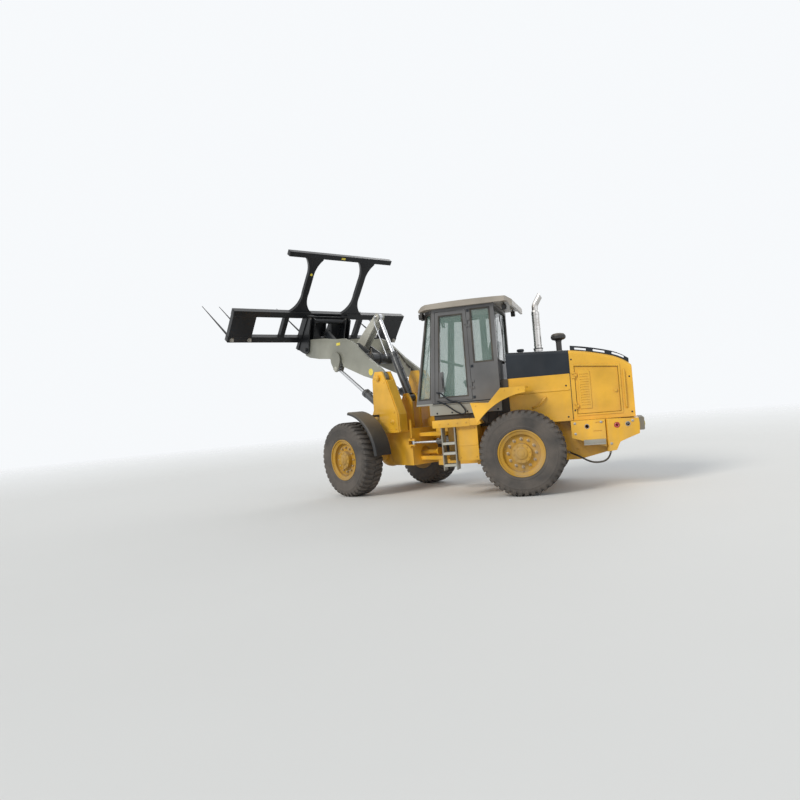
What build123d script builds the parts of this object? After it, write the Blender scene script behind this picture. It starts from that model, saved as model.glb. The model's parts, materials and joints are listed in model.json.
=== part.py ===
from build123d import *
import os
from math import asin, atan2, cos, hypot, pi, radians, sin, tan

# Articulated wheel loader with a triple bale spear on its raised boom, in millimetres.
# X runs rearward, Y to the machine's right and Z up. Every piece is drawn about the steering pivot
# with the machine straight; the front half is then steered, and the whole is centred on the floor.

# Driving dimensions
WHEELBASE = 2890
TRACK = 1882
TYRE_RADIUS = 662
STEER_AT_REST = -33
TOOL_TILT = 36
AXLE_AHEAD = WHEELBASE / 2
HALF_TRACK = TRACK / 2
AXLE_HEIGHT = TYRE_RADIUS
FRAME_HALF = 380
PLATE = 30
RUNNING = 0.05

# Tyre: pitches of the tread, section as (radius, half width), and the lugs' inner end and shoulder
LUG_PITCHES = 30
BEAD = (320, 172)
HEEL = (368, 189)
SHOULDER = (585, 220)
CROWN = (640, 150)
LUG_START = 20
LUG_EDGE = 160

# Pins of the loader linkage, as (ahead of the steering pivot, height)
BOOM_PIVOT = (1016, 2072)
TOOL_PIN = (3310, 2850)
BELLCRANK_PIN = (2095, 2761)
BELLCRANK_TOP = (1500, 3260)
LINK_REAR_PIN = (2428, 2476)
LINK_FRONT_PIN = (3261, 3191)
TILT_FOOT = (800, 1680)
LIFT_FOOT = (700, 1270)
LIFT_ROD_PIN = (2325, 2362)
ARM_OFFSET = 440
ARM_THICK = 50

# Steering cylinder pins, as (ahead of the pivot, distance from the centre plane)
STEER_FOOT = (-540, 360)
STEER_ROD_PIN = (460, 300)
STEER_CYLINDER_HEIGHT = 880
STEER_BARREL = 660
STEER_ROD = 660
STEER_POCKET = 98

# Cab
CAB_HALF = 720
CAB_FLOOR = 1330
MOUNTS = ((170, 480), (600, 480))
CAB_BASE = 1500
CAB_TOP = 3060
CAB_REAR = 1140
WALL = 50
DOOR_REAR = 690
DOOR_SILL = 1545
HEAD = 3010
DOOR_GAP = 6
DOOR_FRAME = 55
PANE = 6
PANE_DEPTH = 22

# Cab openings: wall counted round from the left side, insets from its two corners, width, sill and head
DOORWAY = (0, 450, 46, None, DOOR_SILL, HEAD)
WINDOWS = [
    (0, 60, None, 330, 2130, HEAD),
    (1, 40, 40, None, 1590, HEAD),
    (2, 35, 35, None, 1590, HEAD),
    (3, 40, 40, None, 1590, HEAD),
    (4, 46, 450, None, DOOR_SILL + 60, HEAD),
    (4, None, 60, 330, 2130, HEAD),
    (5, 90, 90, None, 2130, HEAD),
]

# Rear hood
HOOD_HALF = 620
HOOD_FRONT = 1252
HOOD_JOINT = 2235
HOOD_REAR = 3156
HOOD_FLOOR = 1085
COVER_FOOT = 1826
HOOD_SLOPES = (8, 17, 42)
HOOD_RADII = (4014, 796)
HOOD_TOP = 2193
HOOD_ROUND = 50
SHELL = 36
DOOR_BAY = [(2300, 1180), (2300, 1935), (2955, 1875), (2955, 1180)]
BAY_FRAME = [(2300, 1150), (2300, 1965), (2985, 1905), (2985, 1150)]

# Rear weight: lamp and lifting holes behind the pivot, and slots as (start, end, height)
TAIL_LAMP = 2870
LAMP_HEIGHT = 978
LIFT_HOLES = (2428, 3029)
WEIGHT_SLOTS = ((2520, 2640, 900), (2560, 2680, 1030))

# Door hinges: heights of the barrels on the fixed side and on the door
DOOR_HINGES_FIXED = ((1720, 1760), (1821, 1861), (2720, 2760), (2821, 2861))
DOOR_HINGES_TURNING = ((1761, 1820), (2761, 2820))
HOOD_HINGE = 2300
BAY_HINGES_FIXED = ((1260, 1290), (1331, 1361), (1740, 1770), (1811, 1841))
BAY_HINGES_TURNING = ((1291, 1330), (1771, 1810))

# Hoses
HOSE_RADIUS = 14
DRAIN_ROUTE = [(2752, -520, 581), (2735, -520, 500), (2665, -520, 425), (2560, -520, 404), (2450, -520, 415),
               (2350, -520, 466), (2261, -520, 522), (2165, -460, 560), (2100, -393, 586)]
BOOM_ROUTE = [(-1682, 170, 2582), (-1612, 186, 2648), (-1528, 232, 2668), (-1452, 292, 2626),
              (-1404, 346, 2550), (-1376, 384, 2462), (-1330, 399, 2374), (-1240, 399, 2290),
              (-1130, 399, 2200)]

# Grab rail on the door: its route and the studs that hold it, as (behind the pivot, height)
RAIL_REACH = 752
DOOR_RAIL = [(112, 1700), (178, 1690), (309, 1552), (456, 1531), (552, 1403), (565, 1345), (505, 1320),
             (386, 1383), (262, 1490), (118, 1560)]
DOOR_STUDS = [(112, 1700), (309, 1558), (118, 1560)]

# Tow jaw in the rear weight
TOW_BORE = 25.05
TOW_BORE_LENGTH = 248

FOOT = (Align.CENTER, Align.CENTER, Align.MIN)


def block(x_span, y_span, z_span):
    """Box between two places on each axis."""
    size = [b - a for a, b in (x_span, y_span, z_span)]
    middle = [(a + b) / 2 for a, b in (x_span, y_span, z_span)]
    return Pos(*middle) * Box(*size)


def plate(outline, middle, thickness):
    """Flat plate standing fore and aft, from an outline of (ahead, height) points."""
    points = [(-ahead, height) for ahead, height in outline]
    face = make_face(Plane.XZ.offset(-middle) * Polyline(*points, close=True))
    return extrude(face, thickness / 2, both=True)


def rod(start, end, radius):
    """Round bar between two points."""
    start, end = Vector(*start), Vector(*end)
    return Plane(origin=start, z_dir=end - start) * Cylinder(radius, (end - start).length, align=FOOT)


def cross_pin(pin, radius, inner, outer):
    """Round pin along Y at (ahead, height), from one distance right of centre to another."""
    return rod((-pin[0], inner, pin[1]), (-pin[0], outer, pin[1]), radius)


def pipe(points, radius, bend):
    """Bent round tube through the points, with arcs of one radius."""
    path = FilletPolyline(*points, radius=bend)
    return sweep(Plane(origin=path @ 0, z_dir=path % 0) * Circle(radius), path=path)


def both_sides(shape):
    """The shape with its mirror image on the other side of the machine."""
    return Part() + [shape, mirror(shape, Plane.XZ)]


def hull(ends, middle, thickness):
    """Plate around round ends given as (ahead, height, radius), joined by tangent edges."""
    shape = Part()
    for (a, za, ra), (b, zb, rb) in zip(ends, ends[1:]):
        reach = hypot(b - a, zb - za)
        lean = atan2(zb - za, b - a)
        spread = asin((ra - rb) / reach)
        corners = []
        for side in (1, -1):
            angle = lean + side * (pi / 2 - spread)
            corners.append(((a + ra * cos(angle), za + ra * sin(angle)),
                            (b + rb * cos(angle), zb + rb * sin(angle))))
        quad = [corners[0][0], corners[0][1], corners[1][1], corners[1][0]]
        shape += plate(quad, middle, thickness)
    for ahead, height, radius in ends:
        shape += cross_pin((ahead, height), radius, middle - thickness / 2, middle + thickness / 2)
    return shape


# Wheels

def tyre_pitch(turn):
    """Facets of one pitch of the tyre: its casing, and a lug on each side, half a pitch apart."""
    start, end = (radians(360 / LUG_PITCHES * (turn + step)) for step in (0, 1))

    def at(share, y, radius):
        x = (1 - share) * sin(start) + share * sin(end)
        z = (1 - share) * cos(start) + share * cos(end)
        return Vector(x * radius, y, -z * radius)

    def strip(side, section, share=0, until=1):
        (inner_radius, inner), (outer_radius, outer) = section
        near = [at(share, side * inner, inner_radius), at(until, side * inner, inner_radius)]
        return near + [at(until, side * outer, outer_radius), at(share, side * outer, outer_radius)]

    crown, edge = CROWN
    between = [(0, -LUG_START), (0.5, -LUG_START), (0.5, -edge), (1, -edge), (1, -LUG_START), (1, LUG_START),
               (0.5, LUG_START), (0.5, edge), (0, edge), (0, LUG_START)]
    facets = [[at(share, y, crown) for share, y in between]]
    facets.append(strip(1, ((BEAD[0], -BEAD[1]), BEAD)))
    for side, low, high in ((-1, 0, 0.5), (1, 0.5, 1)):
        facets.append(strip(side, (BEAD, HEEL)))
        wall = strip(side, (HEEL, SHOULDER))
        facets.append(wall[:3] + [at(0.5, side * SHOULDER[1], SHOULDER[0])] + wall[3:])
        facets.append(strip(side, (CROWN, SHOULDER), 0.5 - low, 1.5 - high))
        facets.append(strip(side, ((TYRE_RADIUS, LUG_START), (TYRE_RADIUS, LUG_EDGE)), low, high))
        facets.append(strip(side, ((TYRE_RADIUS, LUG_EDGE), SHOULDER), low, high))
        facets.append(strip(side, ((crown, LUG_START), (TYRE_RADIUS, LUG_START)), low, high))
        flank = [(crown, LUG_START), (TYRE_RADIUS, LUG_START), (TYRE_RADIUS, LUG_EDGE), SHOULDER, CROWN]
        for share in (low, high):
            facets.append([at(share, side * distance, radius) for radius, distance in flank])
    return [Face(Wire.make_polygon(facet, close=True)) for facet in facets]


def tyre():
    """Loader tyre with staggered lugs about its own centre, axle along Y."""
    facets = []
    for turn in range(LUG_PITCHES):
        facets += tyre_pitch(turn)
    return Solid(Shell(facets))


def rim():
    """Wheel rim with its flanges, dished disc, hub and ring of nuts, outer side toward -Y."""
    section = [(0, -222), (70, -222), (92, -208), (98, -196), (150, -190), (154, -116), (280, -112),
               (292, -130), (292, -170), (340, -188), (346, -204), (365, -204), (365, -190), (352, -190),
               (318, -172), (318, 172), (352, 190), (365, 190), (365, 204), (346, 204), (340, 188),
               (292, 170), (292, -88), (0, -88)]
    face = make_face(Plane.YZ * Polyline(*[(y, r) for r, y in section], close=True))
    wheel = revolve(face, Axis.Y)
    nut = Rot(90, 0, 0) * extrude(RegularPolygon(20, 6), 22)
    return wheel + [Rot(0, 30 * turn, 0) * Pos(215, -112, 0) * nut for turn in range(12)]


def wheel_pieces():
    """Tyre and rim at each corner: name, which half, ahead of the pivot, side."""
    corners = [("front_left", -1, 1), ("front_right", 1, 1), ("rear_left", -1, -1), ("rear_right", 1, -1)]
    pieces = {}
    for name, side, front in corners:
        for part_name, shape in (("tyre", tyre()), ("rim", rim())):
            turned = shape if side < 0 else mirror(shape, Plane.XZ)
            placed = Pos(-front * AXLE_AHEAD, side * HALF_TRACK, AXLE_HEIGHT) * turned
            pieces[f"{part_name}_{name}"] = (placed, front > 0)
    return pieces


def axle(x, pad_inner, pad_outer, pad_top):
    """Axle housing with its round centre, drums inside the rims, frame pads and drive shaft."""
    inward = -1 if x > 0 else 1
    beam = rod((x, -700, AXLE_HEIGHT), (x, 700, AXLE_HEIGHT), 115)
    centre = Pos(x, 0, AXLE_HEIGHT) * Sphere(235)
    nose = rod((x, 0, AXLE_HEIGHT), (x + inward * 330, 0, AXLE_HEIGHT), 95)
    drums = rod((x, 690, AXLE_HEIGHT), (x, HALF_TRACK + 78, AXLE_HEIGHT), 235)
    pads = block((x - 150, x + 150), (pad_inner, pad_outer), (AXLE_HEIGHT, pad_top))
    shaft = rod((x + inward * 320, 0, AXLE_HEIGHT), (-inward * 120, 0, 700), 40)
    flange = rod((-inward * 160, 0, 698), (-inward * 120, 0, 700), 68)
    return beam + centre + nose + both_sides(drums + pads) + shaft + flange


# Rear half

def rear_frame():
    """Two side plates with cross walls, the hinge brackets ahead of them and the cylinder feet."""
    outline = [(-620, 470), (-620, 1130), (-1130, 1130), (-2700, 1080), (-2700, 560), (-2280, 460),
               (-1900, 460), (-1780, 760), (-1620, 850), (-1270, 850), (-1110, 760), (-1000, 470)]
    sides = both_sides(plate(outline, FRAME_HALF - PLATE / 2, PLATE))
    inner = FRAME_HALF - PLATE
    wall = block((620, 650), (-FRAME_HALF, FRAME_HALF), (470, 1130))
    wall -= rod((600, 0, 690), (700, 0, 690), 110)
    walls = block((1880, 1910), (-inner, inner), (470, 900))
    walls += block((2640, 2700), (-inner, inner), (580, 1080))
    saddle = block((1270, 1620), (-inner, inner), (905, 945))
    cab_feet = both_sides(block((1030, 1100), (320, 460), (1000, CAB_FLOOR - 1)))
    hinge = Part()
    for low, thick in ((470, 90), (1040, 90)):
        hinge += block((0, 620), (-130, 130), (low, low + thick))
        hinge += Pos(0, 0, low) * Cylinder(130, thick, align=FOOT)
    hinge += both_sides(plate([(-130, 1131), (-620, 1131), (-620, 1000), (-560, 1000)], 115, PLATE))
    hinge += both_sides(plate([(-130, 470), (-620, 470), (-620, 600), (-560, 600)], 115, PLATE))
    pins = Part() + [Pos(0, 0, z) * Cylinder(45, 160, align=FOOT) for z in (480, 965)]
    feet = Part()
    for z in (STEER_CYLINDER_HEIGHT - 74, STEER_CYLINDER_HEIGHT + 50):
        feet += block((540, 620), (310, 410), (z, z + 24)) + Pos(540, 360, z) * Cylinder(50, 24, align=FOOT)
    feet += Pos(-STEER_FOOT[0], STEER_FOOT[1], STEER_CYLINDER_HEIGHT - 74) * Cylinder(20, 148, align=FOOT)
    return sides + wall + walls + saddle + cab_feet + hinge + pins + both_sides(feet)


def engine_block():
    """Engine and gearbox as one plain mass."""
    return block((1420, 2560), (-330, 330), (1190, 1800))


def cab_outline(height):
    """Corners of the cab's plan at a height, from the rear left corner round the front."""
    lean = (height - CAB_BASE) / (CAB_TOP - CAB_BASE)
    pillar = 10 + 120 * lean
    nose = -330 + 285 * lean
    side = [(CAB_REAR, -CAB_HALF), (pillar, -CAB_HALF), (nose, -450)]
    return side + [(x, -y) for x, y in reversed(side)]


def cab_solid(inset, low, high):
    """Loft of the cab's plan between two heights, drawn in by a wall thickness."""
    faces = []
    for height in (low, high):
        face = make_face(Plane.XY.offset(height) * Polyline(*cab_outline(height), close=True))
        faces.append(offset(face, amount=-inset) if inset else face)
    return loft(faces, ruled=True)


def knuckles(x, y, spans, radius, leaf_end, leaf_y):
    """Hinge barrels on an upright axis, each with a leaf that reaches its panel."""
    barrels = Part()
    for low, high in spans:
        barrels += Pos(x, y, low) * Cylinder(radius, high - low, align=FOOT)
        barrels += block(sorted((x, leaf_end)), sorted((y, leaf_y)), (low, high))
    return barrels


def window(wall, start, end, width, low, high, play=0):
    """Cutter through one wall of the cab between two insets from its corners, or over a width beside one."""
    faces = []
    for height in (low + play, high - play):
        corners = [Vector(x, y, height) for x, y in cab_outline(height)]
        first, last = corners[wall], corners[(wall + 1) % len(corners)]
        along = (last - first).normalized()
        across = along.cross(Vector(0, 0, 1)) * 150
        near = first + along * start if start else last - along * (end + width)
        far = near + along * width if width else last - along * end
        near, far = near + along * play, far - along * play
        faces.append(make_face(Polyline(near - across, far - across, far + across, near + across, close=True)))
    return loft(faces, ruled=True)


def cab_skin(outer, inner):
    """The cab's walls between two depths from their outer face."""
    return cab_solid(outer, CAB_BASE + 1, CAB_TOP - 1) - cab_solid(inner, CAB_BASE, CAB_TOP)


def cab_shell():
    """Hollow cab with pillars, floor and lower walls, and its window and door openings cut."""
    shell = cab_solid(0, CAB_BASE, CAB_TOP) - cab_solid(WALL, CAB_BASE + WALL, CAB_TOP)
    shell += block((-40, CAB_REAR), (-CAB_HALF + 20, CAB_HALF - 20), (CAB_FLOOR, CAB_BASE))
    for opening in [DOORWAY] + WINDOWS:
        shell -= window(*opening)
    return shell + knuckles(DOOR_REAR, -CAB_HALF - 15, DOOR_HINGES_FIXED, 12, DOOR_REAR + 45, -CAB_HALF)


def cab_roof():
    """Roof cap, bowed fore and aft, with a front visor, cut corners and a dropped rear lip."""
    outline = Polyline((-60, CAB_TOP + 76), (-150, CAB_TOP + 30), (-150, CAB_TOP), (1372, CAB_TOP),
                       (1404, CAB_TOP - 70), (1440, CAB_TOP - 70), (1440, CAB_TOP + 22), (1350, CAB_TOP + 80))
    outline += ThreePointArc((1350, CAB_TOP + 80), (640, CAB_TOP + 96), (-60, CAB_TOP + 76))
    cap = extrude(make_face(Plane.XZ * outline), 800, both=True)
    plan = Polyline((-150, -520), (40, -800), (1330, -800), (1440, -700), (1440, 700), (1330, 800), (40, 800),
                    (-150, 520), close=True)
    cap &= Pos(0, 0, CAB_TOP - 100) * extrude(make_face(plan), 300)
    return cap + block((700, 1250), (-480, 480), (CAB_TOP + 70, CAB_TOP + 120))


def cab_glass():
    """Fixed panes, curved round the cab with its walls, each set into its opening."""
    skin = cab_skin(PANE_DEPTH, PANE_DEPTH + PANE)
    return Part() + [skin & window(*opening, play=1) for opening in WINDOWS]


def cab_interior():
    """Seat on its pedestal, steering column with its wheel, and the side cabinet."""
    pedestal = block((560, 860), (-160, 160), (CAB_BASE + WALL, 1760))
    cushion = block((480, 930), (-250, 250), (1760, 1880))
    cushion = fillet(cushion.edges().filter_by(Axis.Z), 60)
    back = fillet(Box(110, 480, 640, align=FOOT).edges().filter_by(Axis.X), 80)
    back = Pos(900, 0, 1880) * Rot(0, 12, 0) * back
    column = rod((70, 0, CAB_BASE + WALL + 20), (240, 0, 2180), 45)
    wheel = Plane(origin=(245, 0, 2200), z_dir=(0.35, 0, 1)) * Torus(190, 14)
    spokes = Plane(origin=(240, 0, 2180), z_dir=(0.35, 0, 1)) * Box(370, 40, 12)
    cabinet = block((420, 1000), (330, 560), (CAB_BASE + WALL, 2000))
    cabinet = fillet(cabinet.edges().filter_by(Axis.Y).sort_by(Axis.Z)[-2:], 60)
    return Part() + [pedestal + cushion + back, column + wheel + spokes, cabinet]


def door_lock(play=0):
    """Plate in the door's wall that carries its handle."""
    return block((125 - play, 232 + play), (-CAB_HALF - play, -CAB_HALF + WALL + play),
                 (1700 - play, 2030 + play))


def cab_door():
    """Left door: its frame bent with the wall, the handle and the hinge barrels."""
    frame = cab_skin(0, WALL) & window(*DOORWAY, play=DOOR_GAP)
    frame -= window(*DOORWAY, play=DOOR_GAP + DOOR_FRAME)
    grip = block((195, 213), (-CAB_HALF - 45, -CAB_HALF - 22), (1773, 1953))
    escutcheon = block((178, 230), (-CAB_HALF - 6, -CAB_HALF + 1), (1750, 1976))
    for z in (1785, 1920):
        grip += block((195, 213), (-CAB_HALF - 30, -CAB_HALF), (z, z + 20))
    hinge = knuckles(DOOR_REAR, -CAB_HALF - 15, DOOR_HINGES_TURNING, 12, DOOR_REAR - 45, -CAB_HALF)
    return frame + door_lock() + grip + escutcheon + hinge


def door_rail():
    """Bent grab rail on its studs, low on the door."""
    rail = bent_tube([(x, -RAIL_REACH, z) for x, z in DOOR_RAIL], 12)
    return rail + [rod((x, -RAIL_REACH, z), (x, -CAB_HALF - 1, z), 12) for x, z in DOOR_STUDS]


def door_glass():
    """Pane inside the door frame, notched round the lock."""
    pane = cab_skin(PANE_DEPTH, PANE_DEPTH + PANE) & window(*DOORWAY, play=DOOR_GAP + DOOR_FRAME + 1)
    return pane - door_lock(play=1)


def hood_front():
    """Fixed hood behind the cab: sides under the dark cover, each with a fold line, and a front wall."""
    rear = HOOD_JOINT - 4
    outline = [(HOOD_FRONT, HOOD_FLOOR + 60), (HOOD_FRONT, COVER_FOOT - 1), (rear, COVER_FOOT - 1),
               (rear, HOOD_FLOOR + 2), (HOOD_FRONT + 260, HOOD_FLOOR + 2)]
    side = plate([(-x, z) for x, z in outline], HOOD_HALF - SHELL / 2, SHELL)
    fold = block((HOOD_FRONT + 60, HOOD_JOINT - 30), (HOOD_HALF - 1, HOOD_HALF + 9), (1560, 1590))
    fold = chamfer(fold.edges().filter_by(Axis.X).sort_by(Axis.Y)[-2:], 8)
    half = HOOD_HALF - SHELL
    wall = block((HOOD_FRONT, HOOD_FRONT + SHELL), (-half, half), (HOOD_FLOOR + 250, COVER_FOOT - 1))
    return both_sides(side + fold) + wall


def hood_cover():
    """Dark top cover over the engine with rounded shoulders, hollow below."""
    front, rear, rise = HOOD_FRONT, HOOD_JOINT - 4, 53
    outer = [(front, COVER_FOOT), (front, HOOD_TOP + rise), (rear, HOOD_TOP), (rear, COVER_FOOT)]
    inner = [(front + SHELL, COVER_FOOT - 30), (front + SHELL, HOOD_TOP + rise - SHELL),
             (rear + 54, HOOD_TOP - 3 - SHELL), (rear + 54, COVER_FOOT - 30)]
    cover = plate([(-x, z) for x, z in outer], 0, 2 * HOOD_HALF)
    shoulders = [edge for edge in cover.edges() if edge.length > 900 and edge.center().Z > HOOD_TOP]
    cover = fillet(shoulders, HOOD_ROUND)
    return cover - plate([(-x, z) for x, z in inner], 0, 2 * (HOOD_HALF - SHELL))


def hood_curve(inset):
    """Top of the rear hood as two tangent arcs and its rear edge, drawn in by a wall thickness."""
    slope = radians(HOOD_SLOPES[0])
    start = (HOOD_JOINT, HOOD_TOP - inset)
    first = JernArc(start, (cos(slope), -sin(slope)), HOOD_RADII[0] - inset, HOOD_SLOPES[0] - HOOD_SLOPES[1])
    second = JernArc(first @ 1, first % 1, HOOD_RADII[1] - inset, HOOD_SLOPES[1] - HOOD_SLOPES[2])
    return first, second


def hood_solid(inset, half, floor):
    """Rear hood filled in, from its joint to its rear face."""
    first, second = hood_curve(inset)
    rear = HOOD_REAR - inset
    end = second @ 1
    outline = first + second
    outline += Polyline((end.X, end.Y), (rear, end.Y - 20), (rear, floor), (HOOD_JOINT, floor),
                        (HOOD_JOINT, HOOD_TOP - inset))
    return extrude(make_face(Plane.XZ * outline), half, both=True)


def hood_height(x):
    """Height of the rear hood's top at a place behind the pivot."""
    first, middle = radians(HOOD_SLOPES[0]), radians(HOOD_SLOPES[1])
    wide, tight = HOOD_RADII
    break_x = HOOD_JOINT + wide * (sin(middle) - sin(first))
    break_z = HOOD_TOP - wide * (cos(first) - cos(middle))
    if x < break_x:
        return HOOD_TOP - wide * (cos(first) - cos(asin(sin(first) + (x - HOOD_JOINT) / wide)))
    return break_z - tight * (cos(middle) - cos(asin(sin(middle) + (x - break_x) / tight)))


def engine_hood():
    """Rear hood with its curved back, framed side door bays and grille opening."""
    outer = hood_solid(0, HOOD_HALF, HOOD_FLOOR)
    outer = fillet(outer.edges().filter_by(GeomType.CIRCLE), HOOD_ROUND)
    hood = outer - hood_solid(SHELL, HOOD_HALF - SHELL, HOOD_FLOOR - 1)
    raised = both_sides(plate([(-x, z) for x, z in BAY_FRAME], HOOD_HALF + 3, 12))
    bay = plate([(-x, z) for x, z in DOOR_BAY], 0, 4 * HOOD_HALF)
    half = HOOD_HALF - 90
    grille = block((HOOD_REAR - 100, HOOD_REAR + 100), (-half, half), (HOOD_FLOOR + 80, 1780))
    hinges = both_sides(knuckles(HOOD_HINGE, HOOD_HALF + 14, BAY_HINGES_FIXED, 10, HOOD_HINGE - 40, HOOD_HALF))
    return hood + raised - bay - grille + hinges


def engine_door(side):
    """Side door of the engine bay with its raised, louvred strip, latch and hinge barrels."""
    gap = 6
    (front, low), (_, high_front), (rear, high_rear), _ = DOOR_BAY
    outline = [(front + gap, low + gap), (front + gap, high_front - gap), (rear - gap, high_rear - gap),
               (rear - gap, low + gap)]
    panel = plate([(-x, z) for x, z in outline], side * (HOOD_HALF - 26), 20)
    strip = [(2350, 1260), (2350, 1880), (2500, 1866), (2530, 1830), (2530, 1260)]
    panel += plate([(-x, z) for x, z in strip], side * (HOOD_HALF - 12), 14)
    for z in range(1300, 1820, 40):
        panel -= block((2375, 2505), sorted((side * (HOOD_HALF - 11), side * HOOD_HALF)), (z, z + 18))
    latch = Pos(2895, side * (HOOD_HALF - 6), 1510) * Rot(90, 0, 0) * Cylinder(26, 24)
    barrel_y = side * (HOOD_HALF + 14)
    hinge = knuckles(HOOD_HINGE, barrel_y, BAY_HINGES_TURNING, 10, HOOD_HINGE + 36, side * (HOOD_HALF + 4))
    for span in BAY_HINGES_TURNING:
        hinge += block((HOOD_HINGE + 12, HOOD_HINGE + 36), sorted((side * (HOOD_HALF - 18), barrel_y)), span)
    return panel + latch + hinge


def rear_grille():
    """Frame and upright slats in the hood's rear face."""
    low, high = HOOD_FLOOR + 80, 1780
    half = HOOD_HALF - 90
    frame = block((HOOD_REAR - 30, HOOD_REAR - 4), (-half, half), (low, high))
    frame -= block((HOOD_REAR - 60, HOOD_REAR + 10), (-half + 40, half - 40), (low + 40, high - 40))
    slats = [block((HOOD_REAR - 26, HOOD_REAR - 10), (y - 8, y + 8),
                   (low + 40, high - 40)) for y in range(-440, 441, 80)]
    return frame + slats


def counterweight():
    """Cast rear weight with its notched underside, lifting holes, lamp recesses, slots and tow jaw."""
    top = HOOD_FLOOR - 2
    outline = [(2700, 580), (2700, top), (3190, top - 18), (3200, 980), (3190, 832), (3010, 766), (2900, 720),
               (2840, 600)]
    body = plate([(-x, z) for x, z in outline], 0, 1500)
    body = fillet(body.edges().filter_by(Axis.Z).sort_by(Axis.X)[-2:], 60)
    wing = [(2190, 820), (2190, top), (2700, top), (2700, 660), (2560, 700)]
    body += both_sides(plate([(-x, z) for x, z in wing], 600, 300))
    for x in LIFT_HOLES:
        body -= cross_pin((-x, 985), 28, -800, 800)
    body -= both_sides(Pos(TAIL_LAMP, 750, LAMP_HEIGHT) * Rot(90, 0, 0) * Cylinder(44, 24))
    for start, end, z in WEIGHT_SLOTS:
        body -= both_sides(block((start, end), (740, 760), (z, z + 14)))
    body -= block((3080, 3300), (-120, 120), (850, 930))
    return body - Pos(3150, 0, 700) * Cylinder(TOW_BORE, 400, align=FOOT)


def tail_lamps():
    """Round red lamps in the sides of the rear weight."""
    lens = Rot(90, 0, 0) * Cylinder(42, 18)
    lens = fillet(lens.edges(), 6)
    return both_sides(Pos(TAIL_LAMP, 747, LAMP_HEIGHT) * lens)


def tail_box():
    """Grey boxes bolted to the tail and the step plates beside the rear weight."""
    box = block((3201, 3284), (150, 380), (860, 1062))
    box = fillet(box.edges().filter_by(Axis.Y).sort_by(Axis.X)[-2:], 20)
    step = block((2366, 2690), (751, 800), (700, 722)) + block((2366, 2690), (751, 763), (700, 780))
    return both_sides(box) + both_sides(step)


def rear_fenders():
    """Hollow fenders over the rear tyres: stepped top, front wall and an outer skirt with an arched edge."""
    outline = Polyline((802, 1159), (720, 1492), (1000, 1470), (1203, 1684), (1584, 1682), (1576, 1590))
    outline += ThreePointArc((1576, 1590), (1130, 1448), (802, 1159))
    fender = Pos(0, 936, 0) * extrude(make_face(Plane.XZ * outline), 214, both=True)
    hollow = Polyline((700, 1000), (756, 1400), (748, 1466), (1010, 1445), (1214, 1658), (1650, 1656),
                      (1650, 1000), close=True)
    pocket = Pos(0, 924, 0) * extrude(make_face(Plane.XZ * hollow), 204, both=True)
    return both_sides(fender - pocket)


def side_platforms():
    """Deck beside the cab with the tanks below it and the cab's rubber mounts on top."""
    deck = block((62, 660), (FRAME_HALF + 1, 1030), (1140, 1250))
    tank = block((425, 765), (540, 960), (590, 1139)) + block((250, 426), (540, 775), (590, 1139))
    mounts = [Pos(x, y, 1250) * Cylinder(55, CAB_FLOOR - 1251, align=FOOT) for x, y in MOUNTS]
    return both_sides(deck + tank + mounts)


def ladders():
    """Rails and treads below the deck on each side."""
    rails = block((190, 205), (780, 1020), (455, 1139)) + block((400, 415), (780, 1020), (455, 1139))
    rungs = [block((205, 400), (780 + reach, 1020), (z - 15, z + 15)) for z,
             reach in ((880, 60), (722, 30), (533, 0))]
    return both_sides(rails + rungs)


def guard_rails():
    """Flat guard rails that follow the rear hood, each with three slots between its posts."""
    places = [2262 + 86 * n for n in range(11)]

    def band(low, high, first, last):
        along = places[first:last]
        foot = [(-x, hood_height(x) + low) for x in along]
        return foot + [(-x, hood_height(x) + high) for x in reversed(along)]

    middle = HOOD_HALF - 70
    guard = plate(band(-20, 72, 0, len(places)), middle, 26)
    for first in (1, 4, 7):
        slot = plate(band(20, 50, first, first + 3), middle, 60)
        guard -= Pos(6 * (first - 4), 0, 0) * slot
    return both_sides(guard - hood_solid(0, HOOD_HALF, HOOD_FLOOR))


def exhaust_stack():
    """Stack with its foot clamp, wide sleeve and bent tip, cut off at a slant."""
    foot = Pos(1745, -200, 2248) * Cylinder(74, 34, align=FOOT)
    sleeve = Pos(1745, -200, 2270) * Cylinder(62, 620, align=FOOT)
    sleeve = sleeve + Pos(1745, -200, 2890) * Cone(62, 50, 30, align=FOOT)
    path = FilletPolyline((1745, -200, 2880), (1745, -200, 3000), (1850, -200, 3170), radius=110)
    tip = sweep(Plane(origin=path @ 0, z_dir=path % 0) * Circle(50), path=path)
    tip -= Plane(origin=(1870, -200, 3110), z_dir=(1, 0, 0.45)) * Box(300, 300, 200, align=FOOT)
    tip -= Plane(origin=(1815, -200, 3105), z_dir=(0.53, 0, 0.85)) * Cylinder(44, 200, align=FOOT)
    return foot + sleeve + tip


def precleaner():
    """Air intake stem with its round domed cap."""
    profile = Polyline((0, 0), (46, 0), (46, 180), (96, 196), (118, 214), (118, 258), (108, 280), (84, 296),
                       (40, 304), (0, 306), close=True)
    return Pos(2070, -60, 2216) * revolve(make_face(Plane.XZ * profile), Axis.Z)


def work_lamps():
    """Lamps with rounded housings under the roof's front and rear corners."""
    lamps = []
    housing = fillet(Box(60, 120, 90).edges().filter_by(Axis.X), 24)
    for x, y in ((-115, 470), (-115, 330), (1290, 560)):
        stalk = block((x - 8, x + 8), (y - 20, y + 20), (CAB_TOP - 24, CAB_TOP - 1))
        lamps.append(both_sides(Pos(x, y, CAB_TOP - 66) * housing + stalk))
    return Part() + lamps


def mirrors():
    """Small mirrors on stalks under the roof, inside the windscreen."""
    stalk = rod((70, 330, CAB_TOP - 1), (70, 330, 2960), 8)
    head = fillet(Box(20, 190, 110).edges().filter_by(Axis.X), 30)
    return both_sides(stalk + Pos(70, 330, 2920) * Rot(0, -10, 0) * head)


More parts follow.
